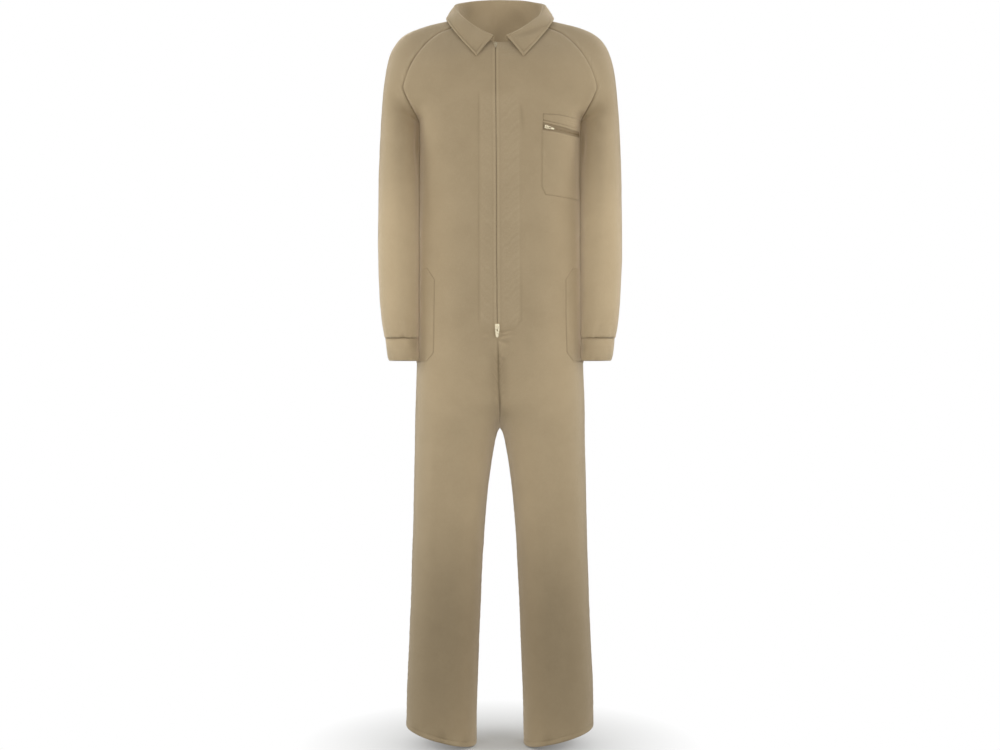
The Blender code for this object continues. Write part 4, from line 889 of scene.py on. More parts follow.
def woven(name, dyed):
    """A woven finish: ribs, slubs and patches, laid by the cloth's own places."""
    finish, tree, shader = new_finish(name)
    place = add_node(tree, "ShaderNodeAttribute", attribute_name="cloth_place").outputs["Vector"]
    relief = add_node(tree, "ShaderNodeAttribute", attribute_name="relief").outputs["Fac"]
    weave = placed(tree, WEAVE, {"Place": place, "Rib Pitch": dyed.pitch, "Slant": dyed.slant})
    mottle = placed(tree, MOTTLE, {"Place": place, "Patch Size": dyed.patch, "Slub Length": dyed.slub})
    # Rubbed lighter ridges and painted shade in dips, from the relief attribute.
    wear_and_shade = placed(tree, RELIEF, {"Place": place, "Relief": relief, "Wear": dyed.wear})
    colour = placed(tree, DYE, {"Colour": (*dyed.colour, 1.0), "Light": (*dyed.light, 1.0),
                                "Dark": (*dyed.dark, 1.0), "Patches": mottle["Patches"],
                                "Slubs": mottle["Slubs"], "Ridges": wear_and_shade["Ridges"], "Dip Shade": wear_and_shade["Dip Shade"],
                                "Thread": weave["Height"]})["Colour"]
    put(tree, colour, shader.inputs["Base Color"])
    rough = ranged(tree, mottle["Patches"], 0.0, 1.0, dyed.roughness - 0.05, dyed.roughness + 0.05)
    put(tree, rough, shader.inputs["Roughness"])
    thread_height = maths(tree, "ADD", weave["Height"], maths(tree, "MULTIPLY", mottle["Slubs"], 0.5))
    raised = add_node(tree, "ShaderNodeBump", {"Strength": dyed.bump, "Distance": THREAD_RELIEF,
                                               "Height": thread_height})
    put(tree, raised.outputs["Normal"], shader.inputs["Normal"])
    shader.inputs["Specular IOR Level"].default_value = 0.25
    shader.inputs["Sheen Weight"].default_value = dyed.sheen
    shader.inputs["Sheen Roughness"].default_value = 0.45
    shader.inputs["Sheen Tint"].default_value = (1.0, 0.86, 0.66, 1.0)
    return finish


TWILL = Dyed(colour=(0.414, 0.314, 0.188), light=(0.600, 0.480, 0.320), dark=(0.150, 0.105, 0.052),
             roughness=0.86, sheen=0.85, pitch=0.0008, slant=1.5, patch=0.060, slub=0.010, wear=1.0,
             bump=0.45)
INSIDE = TWILL._replace(colour=(0.405, 0.306, 0.184), slant=-1.5, sheen=0.20, wear=0.4)
TAPE = Dyed(colour=(0.300, 0.222, 0.130), light=(0.420, 0.320, 0.200), dark=(0.120, 0.085, 0.045),
            roughness=0.80, sheen=0.05, pitch=0.0006, slant=0.0, patch=0.020, slub=0.004, wear=0.5,
            bump=0.60)
THREAD = Dyed(colour=(0.440, 0.338, 0.210), light=(0.560, 0.450, 0.300), dark=(0.200, 0.145, 0.080),
              roughness=0.70, sheen=0.08, pitch=0.0004, slant=3.0, patch=0.004, slub=0.002, wear=0.3,
              bump=0.50)
twill = woven("twill", TWILL)
twill_inside = woven("twill_inside", INSIDE)
tape_finish = woven("zip_tape", TAPE)
thread_finish = woven("sewing_thread", THREAD)
CLOTH_FINISHES = (twill, twill_inside)


def brass_finish(name, bright, dull, least, most):
    """Satin brass, rubbed bright in patches and dull in between, with its least and most roughness."""
    finish, tree, shader = new_finish(name)
    place = add_node(tree, "ShaderNodeTexCoord").outputs["Object"]
    tarnish = noise(tree, place, 420.0, 4.0, 0.6)
    scratches = noise(tree, stretched(tree, place, (2600.0, 2600.0, 240.0)), 1.0, 2.0)
    colour = blended(tree, ranged(tree, tarnish, 0.42, 0.66), (*bright, 1.0), (*dull, 1.0))
    put(tree, colour, shader.inputs["Base Color"])
    shader.inputs["Metallic"].default_value = 1.0
    put(tree, ranged(tree, tarnish, 0.30, 0.75, least, most), shader.inputs["Roughness"])
    raised = add_node(tree, "ShaderNodeBump", {"Strength": 0.25, "Distance": 0.0001, "Height": scratches})
    put(tree, raised.outputs["Normal"], shader.inputs["Normal"])
    return finish


brass = brass_finish("antique_brass", bright=(0.82, 0.74, 0.55), dull=(0.40, 0.31, 0.18),
                     least=0.26, most=0.48)
# Darker, rougher brass of the zip teeth: partly their own dull metal, partly painted shade of the narrow
# gaps they sit in.
gap_shaded_brass = brass_finish("gap_shaded_brass", bright=(0.36, 0.275, 0.165), dull=(0.23, 0.170, 0.095),
                          least=0.55, most=0.75)


# ---------------------------------------------------------------- making pieces
PIECES = bpy.data.collections.new("boiler_suit")
bpy.context.scene.collection.children.link(PIECES)


def add_piece(name, mesh, finishes, body="suit"):
    obj = bpy.data.objects.new(name, mesh)
    for finish in finishes:
        mesh.materials.append(finish)
    PIECES.objects.link(obj)
    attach(obj, body)
    return obj


CLOTH_SHARP, TOOTH_SHARP, STITCH_SHARP = 50, 40, 80      # degrees between faces at a sharp edge


def mesh_of(name, points, faces, places, relief, inside=None, sharp=CLOTH_SHARP):
    """A mesh with its flat places and its relief in millimetres; inside marks faces of the second finish."""
    mesh = bpy.data.meshes.new(name)
    mesh.from_pydata([tuple(p) for p in points], [], [tuple(int(k) for k in f) for f in faces])
    layer = mesh.attributes.new("cloth_place", "FLOAT_VECTOR", "POINT")
    layer.data.foreach_set("vector", np.asarray(places, dtype=np.float32).ravel())
    layer = mesh.attributes.new("relief", "FLOAT", "POINT")
    layer.data.foreach_set("value", np.asarray(relief, dtype=np.float32).ravel())
    if inside is not None:
        mesh.polygons.foreach_set("material_index", np.asarray(inside, dtype=np.int32))
    mesh.shade_smooth()
    mesh.set_sharp_from_angle(angle=math.radians(sharp))
    mesh.update()
    return mesh


def wall(name, cloth, inner):
    """A closed wall from the cloth's face to inner points, its inner faces in the second finish."""
    outer, places, flip, ring_rows = cloth.points, cloth.places, cloth.flip, cloth.ring_rows
    rows, columns = outer.shape[:2]
    index = np.arange(rows * columns).reshape(rows, columns)
    index[:ring_rows, -1] = index[:ring_rows, 0]
    faces = quads_of(index)
    if flip:
        faces = faces[:, ::-1]
    count = rows * columns
    starts = faces.ravel()
    stops = np.roll(faces, -1, axis=1).ravel()
    forward = starts.astype(np.int64) * count + stops
    backward = stops.astype(np.int64) * count + starts
    alone = (~np.isin(forward, backward)) & (starts != stops)
    rim = np.stack([stops[alone], starts[alone], starts[alone] + count, stops[alone] + count], axis=1)
    every = np.concatenate([faces, faces[:, ::-1] + count, rim])
    used = np.unique(every)
    renumber = np.zeros(2 * count, dtype=int)
    renumber[used] = np.arange(len(used))
    points = np.concatenate([outer.reshape(-1, 3), inner.reshape(-1, 3)])[used]
    flat = places.reshape(-1, 3)
    flat = np.concatenate([flat, flat])[used]
    relief = np.concatenate([cloth.relief.ravel(), np.zeros(count)])[used] / MILLIMETRE
    inside = np.concatenate([np.zeros(len(faces)), np.ones(len(faces)), np.zeros(len(rim))])
    listed = [tuple(dict.fromkeys(f)) for f in renumber[every].tolist()]
    return mesh_of(name, points, listed, flat, relief, inside)


def cloth_piece(name, cloth, depth, finishes=CLOTH_FINISHES):
    """A piece of cloth, with its wall this deep behind the cloth's face."""
    inner = cloth.points - np.asarray(depth)[..., None] * cloth.normals
    return add_piece(name, wall(name, cloth, inner), finishes)


def sided(name, side):
    return name + ("_left" if side > 0 else "_right")


def mirrored(points, side):
    return points * (side, 1.0, 1.0)


# ---------------------------------------------------------------- rows and columns of the big pieces
def stretch(start, stop, step):
    count = max(int(round((stop - start) / step)), 1)
    return list(np.linspace(start, stop, count, endpoint=False))


CROTCH_ROW = row_of(CROTCH_Z)
BELOW_ARMPIT = (stretch(row_of(HEM_Z), row_of(HEM_Z + 0.020), 0.022)
                + stretch(row_of(HEM_Z + 0.020), row_of(-0.930), 0.070)
                + stretch(row_of(-0.930), CROTCH_ROW, 0.030)
                + stretch(CROTCH_ROW, row_of(-0.800), 0.040)
                + stretch(row_of(-0.800), row_of(-0.660), 0.028)
                + stretch(row_of(-0.660), ARMPIT_ROW, 0.042))
ABOVE_ARMPIT = list(np.linspace(ARMPIT_ROW, NECK_ROW, 101))
PANEL_ROWS = np.array(BELOW_ARMPIT + ABOVE_ARMPIT)
SLEEVE_LOW_ROW = sleeve_row(SLEEVE_END_Z)
SLEEVE_BELOW = (stretch(SLEEVE_LOW_ROW, SLEEVE_LOW_ROW + 0.60, 0.030)
                + stretch(SLEEVE_LOW_ROW + 0.60, ARMPIT_ROW, 0.062))
SLEEVE_ROWS = np.array(SLEEVE_BELOW + ABOVE_ARMPIT)
RINGS = len(SLEEVE_BELOW) + 1
PANEL_WIDTH = 0.28
BY_THE_ZIP = [0.0, 0.0008, 0.0018, 0.0030, 0.0044, 0.0060, 0.0076, 0.0095, 0.0120, 0.0150, 0.0180, 0.0215,
              0.0250, 0.0290, 0.0330, 0.0370, 0.0395, 0.0410, 0.0425, 0.0445, 0.0480]
BY_THE_SIDE = [0.0135, 0.0090, 0.0058, 0.0036, 0.0020, 0.0008, 0.0]
FRONT_SHARES = np.concatenate([BY_THE_ZIP, np.linspace(0.055, PANEL_WIDTH - 0.020, 25),
                               PANEL_WIDTH - np.array(BY_THE_SIDE)]) / PANEL_WIDTH
BACK_SHARES = close_at_edges(PANEL_WIDTH, 36)
SLEEVE_SHARES = close_at_edges(0.40, 70)
PANEL_SOFT_ROWS, SLEEVE_SOFT_ROWS = 8, 5
HAIR = 1e-9

# Distances of the stitch lines in from their edges.
ZIP_LINE = 0.0064
HEM_LINE = 0.0112
CUFF_FOOT_LINE, CUFF_HEAD_LINE = 0.0050, 0.0025
LEAF_LINE = 0.0066
POCKET_LINE = 0.0019
HIP_MOUTH_LINE = 0.0070
CHEST_MOUTH_LINE = 0.0016
STRIP_LIP_LINE = 0.0062

SEAM = (Crease(-0.0010, 0.0, 0.0022), Crease(0.0003, 0.0065, 0.0040))
HEM = (Crease(0.00028, 0.0055, 0.0036), Crease(-0.00038, HEM_LINE, 0.0013))
FACING_EDGE = (Crease(-0.00034, 0.0034, 0.0022), Crease(0.00022, -0.0020, 0.0020))
ZIP_EDGE = (Crease(0.00042, 0.0030, 0.0024), Crease(-0.00034, ZIP_LINE, 0.0011))
CUFF_SEAM = (Crease(-0.0006, 0.0, 0.0020),)
CUFF_FOOT = (Crease(-0.0003, CUFF_FOOT_LINE, 0.0009), Crease(0.0002, 0.0026, 0.0016))
CUFF_HEAD = (Crease(-0.0003, CUFF_HEAD_LINE, 0.0009),)
LEAF_EDGE = (Crease(-0.00062, LEAF_LINE, 0.0014), Crease(0.00034, 0.0034, 0.0026))
PATCH_EDGE = (Crease(0.00020, 0.0045, 0.0030), Crease(-0.00030, POCKET_LINE, 0.0008))
PATCH_MOUTH = (Crease(-0.00028, 0.0, 0.0009), Crease(0.00016, 0.0024, 0.0016))
STRIP_LIP = (Crease(-0.00060, 0.0, 0.0011), Crease(0.00030, -0.0026, 0.0018))

ROUNDING = 0.42              # share of its thickness that a wall's face falls back at a rounded edge
PUCKER_HEIGHT = 0.00024
SHOULDER_PUCKER = 0.00032    # more of it where the raglan seams run over the shoulder
SEAM_FLAT = 0.006            # folds die away over this distance from a seam
SLACK_FINE = 0.00012
HEM_WAVE, HEM_WAVE_REACH, HEM_WAVE_PITCH = 0.0006, 0.045, 0.075
FOLD_UNPAINTED = 0.95           # share of the soft folds kept out of the painted relief; the rest shows lighter where rubbed and as painted shade in troughs


def edge_round(distance, thickness):
    """How far a face falls back towards the middle of its wall near a rounded edge."""
    c = np.clip(1.0 - distance / (0.5 * thickness), 0.0, 1.0)
    return ROUNDING * thickness * (1.0 - np.sqrt(1.0 - c * c))


def sewn(distance, run, seed, puckered=PUCKER_HEIGHT):
    """Heights of the cloth beside a seam: a dip along it, a soft swell and uneven puckers."""
    pucker = puckered * ripple(run, 0.016, seed) * bump_at(distance, 0.0060, 0.0060)
    return creases(distance, SEAM) + pucker * ease(distance, 0.0, 0.0025)


def slack(cloth, seed, height, broad, fine):
    """Soft unevenness of this height over broad areas of the cloth, with a lower and finer one on it."""
    u, v = cloth.places[..., 0], cloth.places[..., 1]
    return height * undulation(u, v, broad, seed) + SLACK_FINE * undulation(u, v, fine, seed + 1)


def hem_waves(cloth, seed):
    """The hem goes in and out a little round the leg."""
    low = 1.0 - ease(cloth.from_bottom, 0.0, HEM_WAVE_REACH)
    return low * HEM_WAVE * ripple(cloth.places[..., 0], HEM_WAVE_PITCH, seed)


def hem_wall(cloth):
    """Thickness of a body piece, doubled at its hem, and how far its face rounds in at the fold."""
    thickness = np.where(cloth.from_bottom < HEM_DEPTH, HEM_WALL, CLOTH)
    return thickness, edge_round(cloth.from_bottom, HEM_WALL)


def panel_cloth(back, side):
    shares = BACK_SHARES if back else FRONT_SHARES
    points = np.stack([body_points(row, back, side, shares) for row in PANEL_ROWS])
    points = softened(mirrored(points, side), PANEL_SOFT_ROWS)
    return Cloth(PANEL_ROWS, shares, points, flip=back == (side > 0))


def sleeve_cloth(side):
    points = np.stack([sleeve_points(row, SLEEVE_SHARES) for row in SLEEVE_ROWS])
    points = softened(mirrored(points, side), SLEEVE_SOFT_ROWS)
    return Cloth(SLEEVE_ROWS, SLEEVE_SHARES, points, side < 0, RINGS)


def agree(one, its_rows, its_column, other, other_rows, other_column):
    """Two pieces sewn together take the same normals and points along their seam."""
    for name in ("normals", "points"):
        a, b = getattr(one, name), getattr(other, name)
        mean = 0.5 * (a[its_rows, its_column] + b[other_rows, other_column])
        if name == "normals":
            mean = unit(mean)
        a[its_rows, its_column] = mean
        b[other_rows, other_column] = mean


panels = {(back, side): panel_cloth(back, side) for back in (False, True) for side in (1.0, -1.0)}
sleeves = {side: sleeve_cloth(side) for side in (1.0, -1.0)}
low = slice(0, len(BELOW_ARMPIT) + 1)
high = slice(len(BELOW_ARMPIT) + 1, None)
sleeve_high = slice(RINGS, None)
legs = np.nonzero(PANEL_ROWS <= CROTCH_ROW + HAIR)[0]
trunk = np.nonzero(PANEL_ROWS > CROTCH_ROW + HAIR)[0]
fly = np.nonzero((PANEL_ROWS > CROTCH_ROW + HAIR) & (PANEL_ROWS < row_of(ZIP_END_Z)))[0]
for side in (1.0, -1.0):
    front, rear, arm = panels[False, side], panels[True, side], sleeves[side]
    agree(front, low, -1, rear, low, -1)
    agree(front, legs, 0, rear, legs, 0)
    agree(front, high, -1, arm, sleeve_high, 0)
    agree(rear, high, -1, arm, sleeve_high, -1)
agree(panels[False, 1.0], fly, 0, panels[False, -1.0], fly, 0)
agree(panels[True, 1.0], trunk, 0, panels[True, -1.0], trunk, 0)

FLY_DEPTH = 0.0030           # the soft valley of the fly seam below the zip
FLY_WIDTH = 0.0175
FLY_DEEPENS = -0.890, -0.775                 # heights over which it comes in above the crotch
FLY_ENDS = -0.756, -0.708                    # and goes out again below the zip
# Share of the fly's valley kept out of the relief; the rest is painted as a band of shade beside the fly
# seam.
FLY_UNPAINTED = 0.76
FLY_PRESSED, FLY_PRESSED_OVER = 0.4, (-0.900, -0.840)
ZIP_LEAN = 0.00085           # how far a front's zipped edge leans in over the zip
FACING_STEP = 0.00042
FACING_PLEAT = 0.00019
FACING_FOOT = {1.0: -0.690, -1.0: -0.680}    # heights where its line begins to show, for each side
FACING_SHOWN = -0.660
FACING_ENDS = -0.200, -0.160
SHOULDER_HEIGHTS = -0.190, -0.130
CUFF_GATHER, CUFF_TUCK = 0.0004, 0.0016

# The facing behind the front edges shows through as a line; on the wearer's left it curves in like a J.
FACING = {
    1.0: [(0.0030, -0.6905), (0.0120, -0.6880), (0.0220, -0.6845), (0.0310, -0.6775), (0.0370, -0.6680),
          (0.0405, -0.6550), (0.0416, -0.6400), (0.0416, -0.4000), (0.0416, -0.1500)],
    -1.0: [(0.0412, -0.6900), (0.0416, -0.6400), (0.0416, -0.4000), (0.0416, -0.1500)],
}


def past_facing(x, z, side):
    """Distance past the edge of the facing, below 0 over the facing."""
    places = FACING[side]
    gap, _ = along_line(side * x, z, places)
    edge = np.interp(z, [p[1] for p in places], [p[0] for p in places])
    return np.where(side * x > edge, gap, -gap)


def dress_front(cloth, side):
    """Lays the folds and the sewn edges of a front into its cloth, and returns its thickness."""
    x, z = cloth.points[..., 0], cloth.points[..., 2]
    seed = 10 if side > 0 else 20
    zipped = ease(z, ZIP_END_Z - ZIP_END_HALF, ZIP_END_Z + ZIP_END_HALF)
    own = FRONT_FOLDS_LEFT if side > 0 else FRONT_FOLDS_RIGHT
    soft = fold_heights(side * x, z, FRONT_FOLDS_BOTH) + fold_heights(x, z, own)
    soft += slack(cloth, seed, 0.00040, 0.11, 0.035)
    from_seam = np.minimum(cloth.from_end, np.where(zipped > 0.5, 1.0, cloth.from_start))
    heights = soft * ease(from_seam, 0.0, SEAM_FLAT)
    heights += sewn(cloth.from_end, cloth.from_bottom, seed + 2)
    fly_sewn = (1.0 - zipped) * (1.0 - FLY_PRESSED * ease(z, *FLY_PRESSED_OVER))
    heights += fly_sewn * sewn(cloth.from_start, cloth.from_bottom, seed + 3)
    past = past_facing(x, z, side)
    shown = ease(z, FACING_FOOT[side], FACING_SHOWN) * (1.0 - ease(z, *FACING_ENDS))
    over = 1.0 - ease(past, -0.0040, 0.0030)
    step = FACING_STEP * over + creases(past, FACING_EDGE)
    pleated = ease(cloth.from_start, 0.0065, 0.0130) * over
    step += FACING_PLEAT * pleated * ripple(cloth.from_bottom + 0.05 * x, 0.0125, seed + 4)
    heights += shown * step
    heights += zipped * creases(cloth.from_start, ZIP_EDGE)
    fly = FLY_DEPTH * ease(z, *FLY_DEEPENS) * (1.0 - ease(z, *FLY_ENDS))
    fly *= bump_at(cloth.from_start, 0.0, FLY_WIDTH)
    heights -= fly
    heights += hem_waves(cloth, seed + 5) + creases(cloth.from_bottom, HEM)
    thickness, turned = hem_wall(cloth)
    thickness = np.where((past < 0.0) & (z > ZIP_END_Z), FACED, thickness)
    folded = zipped * edge_round(cloth.from_start, FACED)
    # Its relief, painted into the colour, takes the sewn creases, a little of the folds, and part of the
    # fly's valley as painted shade.
    cloth.raise_by(heights - turned - folded, heights - FOLD_UNPAINTED * soft + FLY_UNPAINTED * fly)
    cloth.points[..., 0] -= side * ZIP_LEAN * zipped * (1.0 - ease(cloth.from_start, 0.0, 0.0090))
    return thickness - 2.0 * turned - 2.0 * folded


def dress_back(cloth, side):
    """The same for a back, which has a seam down both its edges."""
    x, z = cloth.points[..., 0], cloth.points[..., 2]
    seed = 30 if side > 0 else 40
    own = BACK_FOLDS_LEFT if side > 0 else BACK_FOLDS_RIGHT
    soft = fold_heights(side * x, z, BACK_FOLDS_BOTH) + fold_heights(x, z, own)
    soft += slack(cloth, seed, 0.00045, 0.11, 0.035)
    heights = soft * ease(np.minimum(cloth.from_end, cloth.from_start), 0.0, SEAM_FLAT)
    heights += sewn(cloth.from_end, cloth.from_bottom, seed + 2)
    heights += sewn(cloth.from_start, cloth.from_bottom, seed + 3)
    heights += hem_waves(cloth, seed + 5) * ease(cloth.from_end, 0.0, 0.01)
    heights += creases(cloth.from_bottom, HEM)
    thickness, turned = hem_wall(cloth)
    cloth.raise_by(heights - turned, heights - FOLD_UNPAINTED * soft)
    return thickness - 2.0 * turned


def dress_sleeve(cloth, side):
    """The same for a sleeve, gathered a little into its cuff."""
    z = cloth.points[..., 2]
    around = np.repeat(((cloth.shares - 0.5) * SLEEVE_GIRTH)[None, :], len(cloth.rows), axis=0)
    seed = 50 if side > 0 else 60
    soft = fold_heights(around, z, SLEEVE_FOLDS) + slack(cloth, seed, 0.00045, 0.09, 0.03)
    from_seam = np.minimum(cloth.from_start, cloth.from_end)
    heights = soft * ease(from_seam, 0.0, SEAM_FLAT)
    puckered = PUCKER_HEIGHT + SHOULDER_PUCKER * ease(z, *SHOULDER_HEIGHTS)
    heights += sewn(cloth.from_start, cloth.from_bottom, seed + 2, puckered)
    heights += sewn(cloth.from_end, cloth.from_bottom, seed + 3, puckered)
    gathered = CUFF_GATHER * bump_at(cloth.from_bottom, 0.0045, 0.0060) * ripple(around, 0.021, seed + 4)
    heights += gathered * ease(from_seam, 0.0, 0.01)
    heights -= CUFF_TUCK * (1.0 - ease(cloth.from_bottom, 0.0, 0.0040))
    cloth.raise_by(heights, heights - FOLD_UNPAINTED * soft)
    return np.full(z.shape, CLOTH)


for (back, side), cloth in panels.items():
    depth = (dress_back if back else dress_front)(cloth, side)
    node = sided("back" if back else "front", side)
    obj = cloth_piece(node + "_cloth", cloth, depth)
    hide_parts(node, node + "_leg")
for side, cloth in sleeves.items():
    depth = dress_sleeve(cloth, side)
    node = sided("sleeve", side)
    obj = cloth_piece(node + "_cloth", cloth, depth)
    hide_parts(node)


# ---------------------------------------------------------------- cuffs
CUFF_DEEP = 0.0024
CUFF_LIFT = (0.0, 0.0005, 0.0012, 0.0022, 0.0034, 0.0044, 0.0050, 0.0056, 0.0070, 0.0090)
CUFF_DROP = (0.0040, 0.0030, 0.0022, 0.0015, 0.0008, 0.0)
CUFF_COLUMNS = 97


def cuff_piece(side):
    """A band cuff: turned in at its foot, pressed flat at its head, and joined at the underarm."""
    foot, head = CUFF[0].z, CUFF[-1].z
    heights = np.concatenate([foot + np.array(CUFF_LIFT), np.linspace(foot + 0.012, head - 0.006, 11),
                              head - np.array(CUFF_DROP)])
    shares = np.linspace(0.0, 1.0, CUFF_COLUMNS)
    points = mirrored(np.stack([tube_points(cuff_tube.at(z), shares) for z in heights]), side)
    cloth = Cloth(heights, shares, points, side < 0, len(heights))
    u, v = cloth.places[..., 0], cloth.places[..., 1]
    from_seam = np.minimum(cloth.from_start, cloth.from_end)
    seed = 70 if side > 0 else 80
    puff = 0.0005 * undulation(u, v, 0.06, seed)
    puff += 0.0002 * ripple(u, 0.017, seed + 1) * bump_at(v, 0.006, 0.005)
    turned = edge_round(cloth.from_bottom, CUFF_DEEP)
    raised = ease(from_seam, 0.0, 0.008) * puff + creases(from_seam, CUFF_SEAM)
    raised += creases(cloth.from_bottom, CUFF_FOOT) + creases(cloth.from_top, CUFF_HEAD)
    raised -= turned + 0.0004 * (1.0 - ease(cloth.from_top, 0.0, 0.0012))
    # All of its relief is painted into the colour: lighter where rubbed, and painted shade in its dips and
    # seams.
    cloth.raise_by(raised, raised)
    node = sided("cuff", side)
    obj = cloth_piece(node + "_cloth", cloth, CUFF_DEEP - 2.0 * turned)
    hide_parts(node)
    return cloth


cuffs = {side: cuff_piece(side) for side in (1.0, -1.0)}


# ---------------------------------------------------------------- collar
FOOT_IN = 0.0020             # how far the collar's foot reaches into the neck seam
FACING_DROP = 0.062          # how far its lining runs on down inside the back of the neck
FACING_IN = 0.0034
LEAF_STEPS = (0.84, 0.87, 0.892, 0.910, 0.928, 0.946, 0.964, 0.984, 1.0)
LEAF_NEAR = (0.0, 0.0009, 0.0020, 0.0031, 0.0042, 0.0054, 0.0075, 0.0100)
STAND_STEPS, FOLD_STEPS = 12, 11
LEAF_BOW = 0.004             # how far the leaf bows out past a straight line to its edge


def half_neckline():
    """Outer points of the neck edge from the middle of the back to the collar's front end."""
    shares = np.linspace(0.0, 1.0, 60)
    back = body_line(NECK_ROW, True)
    head = sleeve_points(NECK_ROW, shares)[::-1]
    front = body_line(NECK_ROW, False)[::-1]
    line = np.concatenate([back, head[1:-1], front])
    ahead = [i for i in range(len(line)) if line[i, 1] > 0.0 or line[i, 0] >= COLLAR_END_X]
    a, b = line[ahead[-1]], line[ahead[-1] + 1]
    last = a + (b - a) * (a[0] - COLLAR_END_X) / (a[0] - b[0])
    return np.concatenate([line[: ahead[-1] + 1], [last]])


def collar_section(share, neckline):
    """The collar's under face, from the neck seam up the stand, over the fold and down the leaf."""
    s = collar_stations.at(share)
    foot = points_along(neckline, [share * lengths_along(neckline)[-1]])[0]
    fold = np.array([s.fold_x, s.fold_y, s.fold_z])
    edge = np.array([s.leaf_x, s.leaf_y, s.leaf_z])
    up = unit(fold - foot)
    out = edge - foot
    out = unit(out - up * out.dot(up))
    behind = 1.0 - ease(share, 0.42, 0.74)
    foot = foot - (FOOT_IN + FACING_DROP * behind) * up - (0.00075 + FACING_IN * behind) * out
    hinge = fold - FOLD_RADIUS * up
    angles = np.linspace(math.pi, 0.0, FOLD_STEPS)
    arc = [hinge + FOLD_RADIUS * (math.cos(a) * out + math.sin(a) * up) for a in angles]
    stand = [foot + (arc[0] - foot) * t for t in np.linspace(0.0, 1.0, STAND_STEPS, endpoint=False)]
    bow = arc[-1] + 0.35 * (edge - arc[-1]) + LEAF_BOW * out
    steps = np.concatenate([np.linspace(0.05, 0.80, 15), LEAF_STEPS])
    leaf = [(1 - t) ** 2 * arc[-1] + 2 * t * (1 - t) * bow + t * t * edge for t in steps]
    return np.array(stand + arc + leaf)


def collar_piece():
    """The collar, with its rows from one front end round the neck to the other."""
    neckline = half_neckline()
    stations = 2.0 * close_at_edges(0.50, 130, LEAF_NEAR) - 1.0
    under = [mirrored(collar_section(abs(s), neckline), math.copysign(1.0, s)) for s in stations]
    under = np.stack(under)
    face = under - COLLAR_WALL * steepness(under, False)
    cloth = Cloth(stations, np.linspace(0.0, 1.0, face.shape[1]), face, True)
    u, v = cloth.from_end, cloth.from_bottom
    leaf = ease(cloth.shares, 0.52, 0.60)[None, :]
    ends = np.minimum(cloth.from_bottom, cloth.from_top)
    from_edge = np.minimum(cloth.from_end, np.where(leaf > 0.0, ends, 1.0))
    raised = 0.0005 * undulation(u, v, 0.07, 91) * ease(from_edge, 0.0, 0.01)
    raised += leaf * creases(from_edge, LEAF_EDGE)
    raised += leaf * 0.00018 * ripple(v, 0.019, 92) * bump_at(cloth.from_end, 0.0110, 0.0050)
    turned = edge_round(np.minimum(cloth.from_end, ends), COLLAR_WALL)
    # All of its relief is painted into the colour: lighter where rubbed, and painted shade in its dips and
    # seams.
    cloth.raise_by(raised - turned, raised)
    obj = cloth_piece("collar_cloth", cloth, COLLAR_WALL - 2.0 * turned)
    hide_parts("collar")
    return cloth


collar = collar_piece()


# ---------------------------------------------------------------- pockets
PATCH_RISE = 0.0011          # a pocket's face above the front it is sewn to
PATCH_DEEP = 0.0010
# A pocket's outline gets a band of painted shade this wide, and this deep in relief.
OUTLINE_WIDTH = 0.0015
OUTLINE_SHADE = 0.0010


def round_trip(corners, share):
    """Places along a line of corners, by share of its length."""
    line = np.array(corners, dtype=float)
    return points_along(line, np.asarray(share) * lengths_along(line)[-1])


def between_edges(bottom, top, left, right, across, along):
    """A grid of places filled in between four edges; rows run along and columns across."""
    b, t = round_trip(bottom, across)[None], round_trip(top, across)[None]
    l, r = round_trip(left, along)[:, None], round_trip(right, along)[:, None]
    s, u = across[None, :, None], along[:, None, None]
    corners = ((1 - s) * (1 - u) * b[:, :1] + s * (1 - u) * b[:, -1:]
               + (1 - s) * u * t[:, :1] + s * u * t[:, -1:])
    return (1 - u) * b + u * t + (1 - s) * l + s * r - corners


def seen_from_front(host, places):
    """Points of the cloth straight behind (x, z) places."""
    corners = host.points.reshape(-1, 3)
    index = np.arange(len(corners)).reshape(-1, len(host.shares))
    finder = BVHTree.FromPolygons([Vector(p) for p in corners], quads_of(index).tolist())
    found = np.empty(places.shape[:2] + (3,))
    for i in range(places.shape[0]):
        for j in range(places.shape[1]):
            x, z = places[i, j]
            hit = finder.ray_cast(Vector((x, -0.5, z)), Vector((0.0, 1.0, 0.0)))[0]
            if hit is None:
                hit = finder.find_nearest(Vector((x, 0.0, z)))[0]
            found[i, j] = hit
    return found


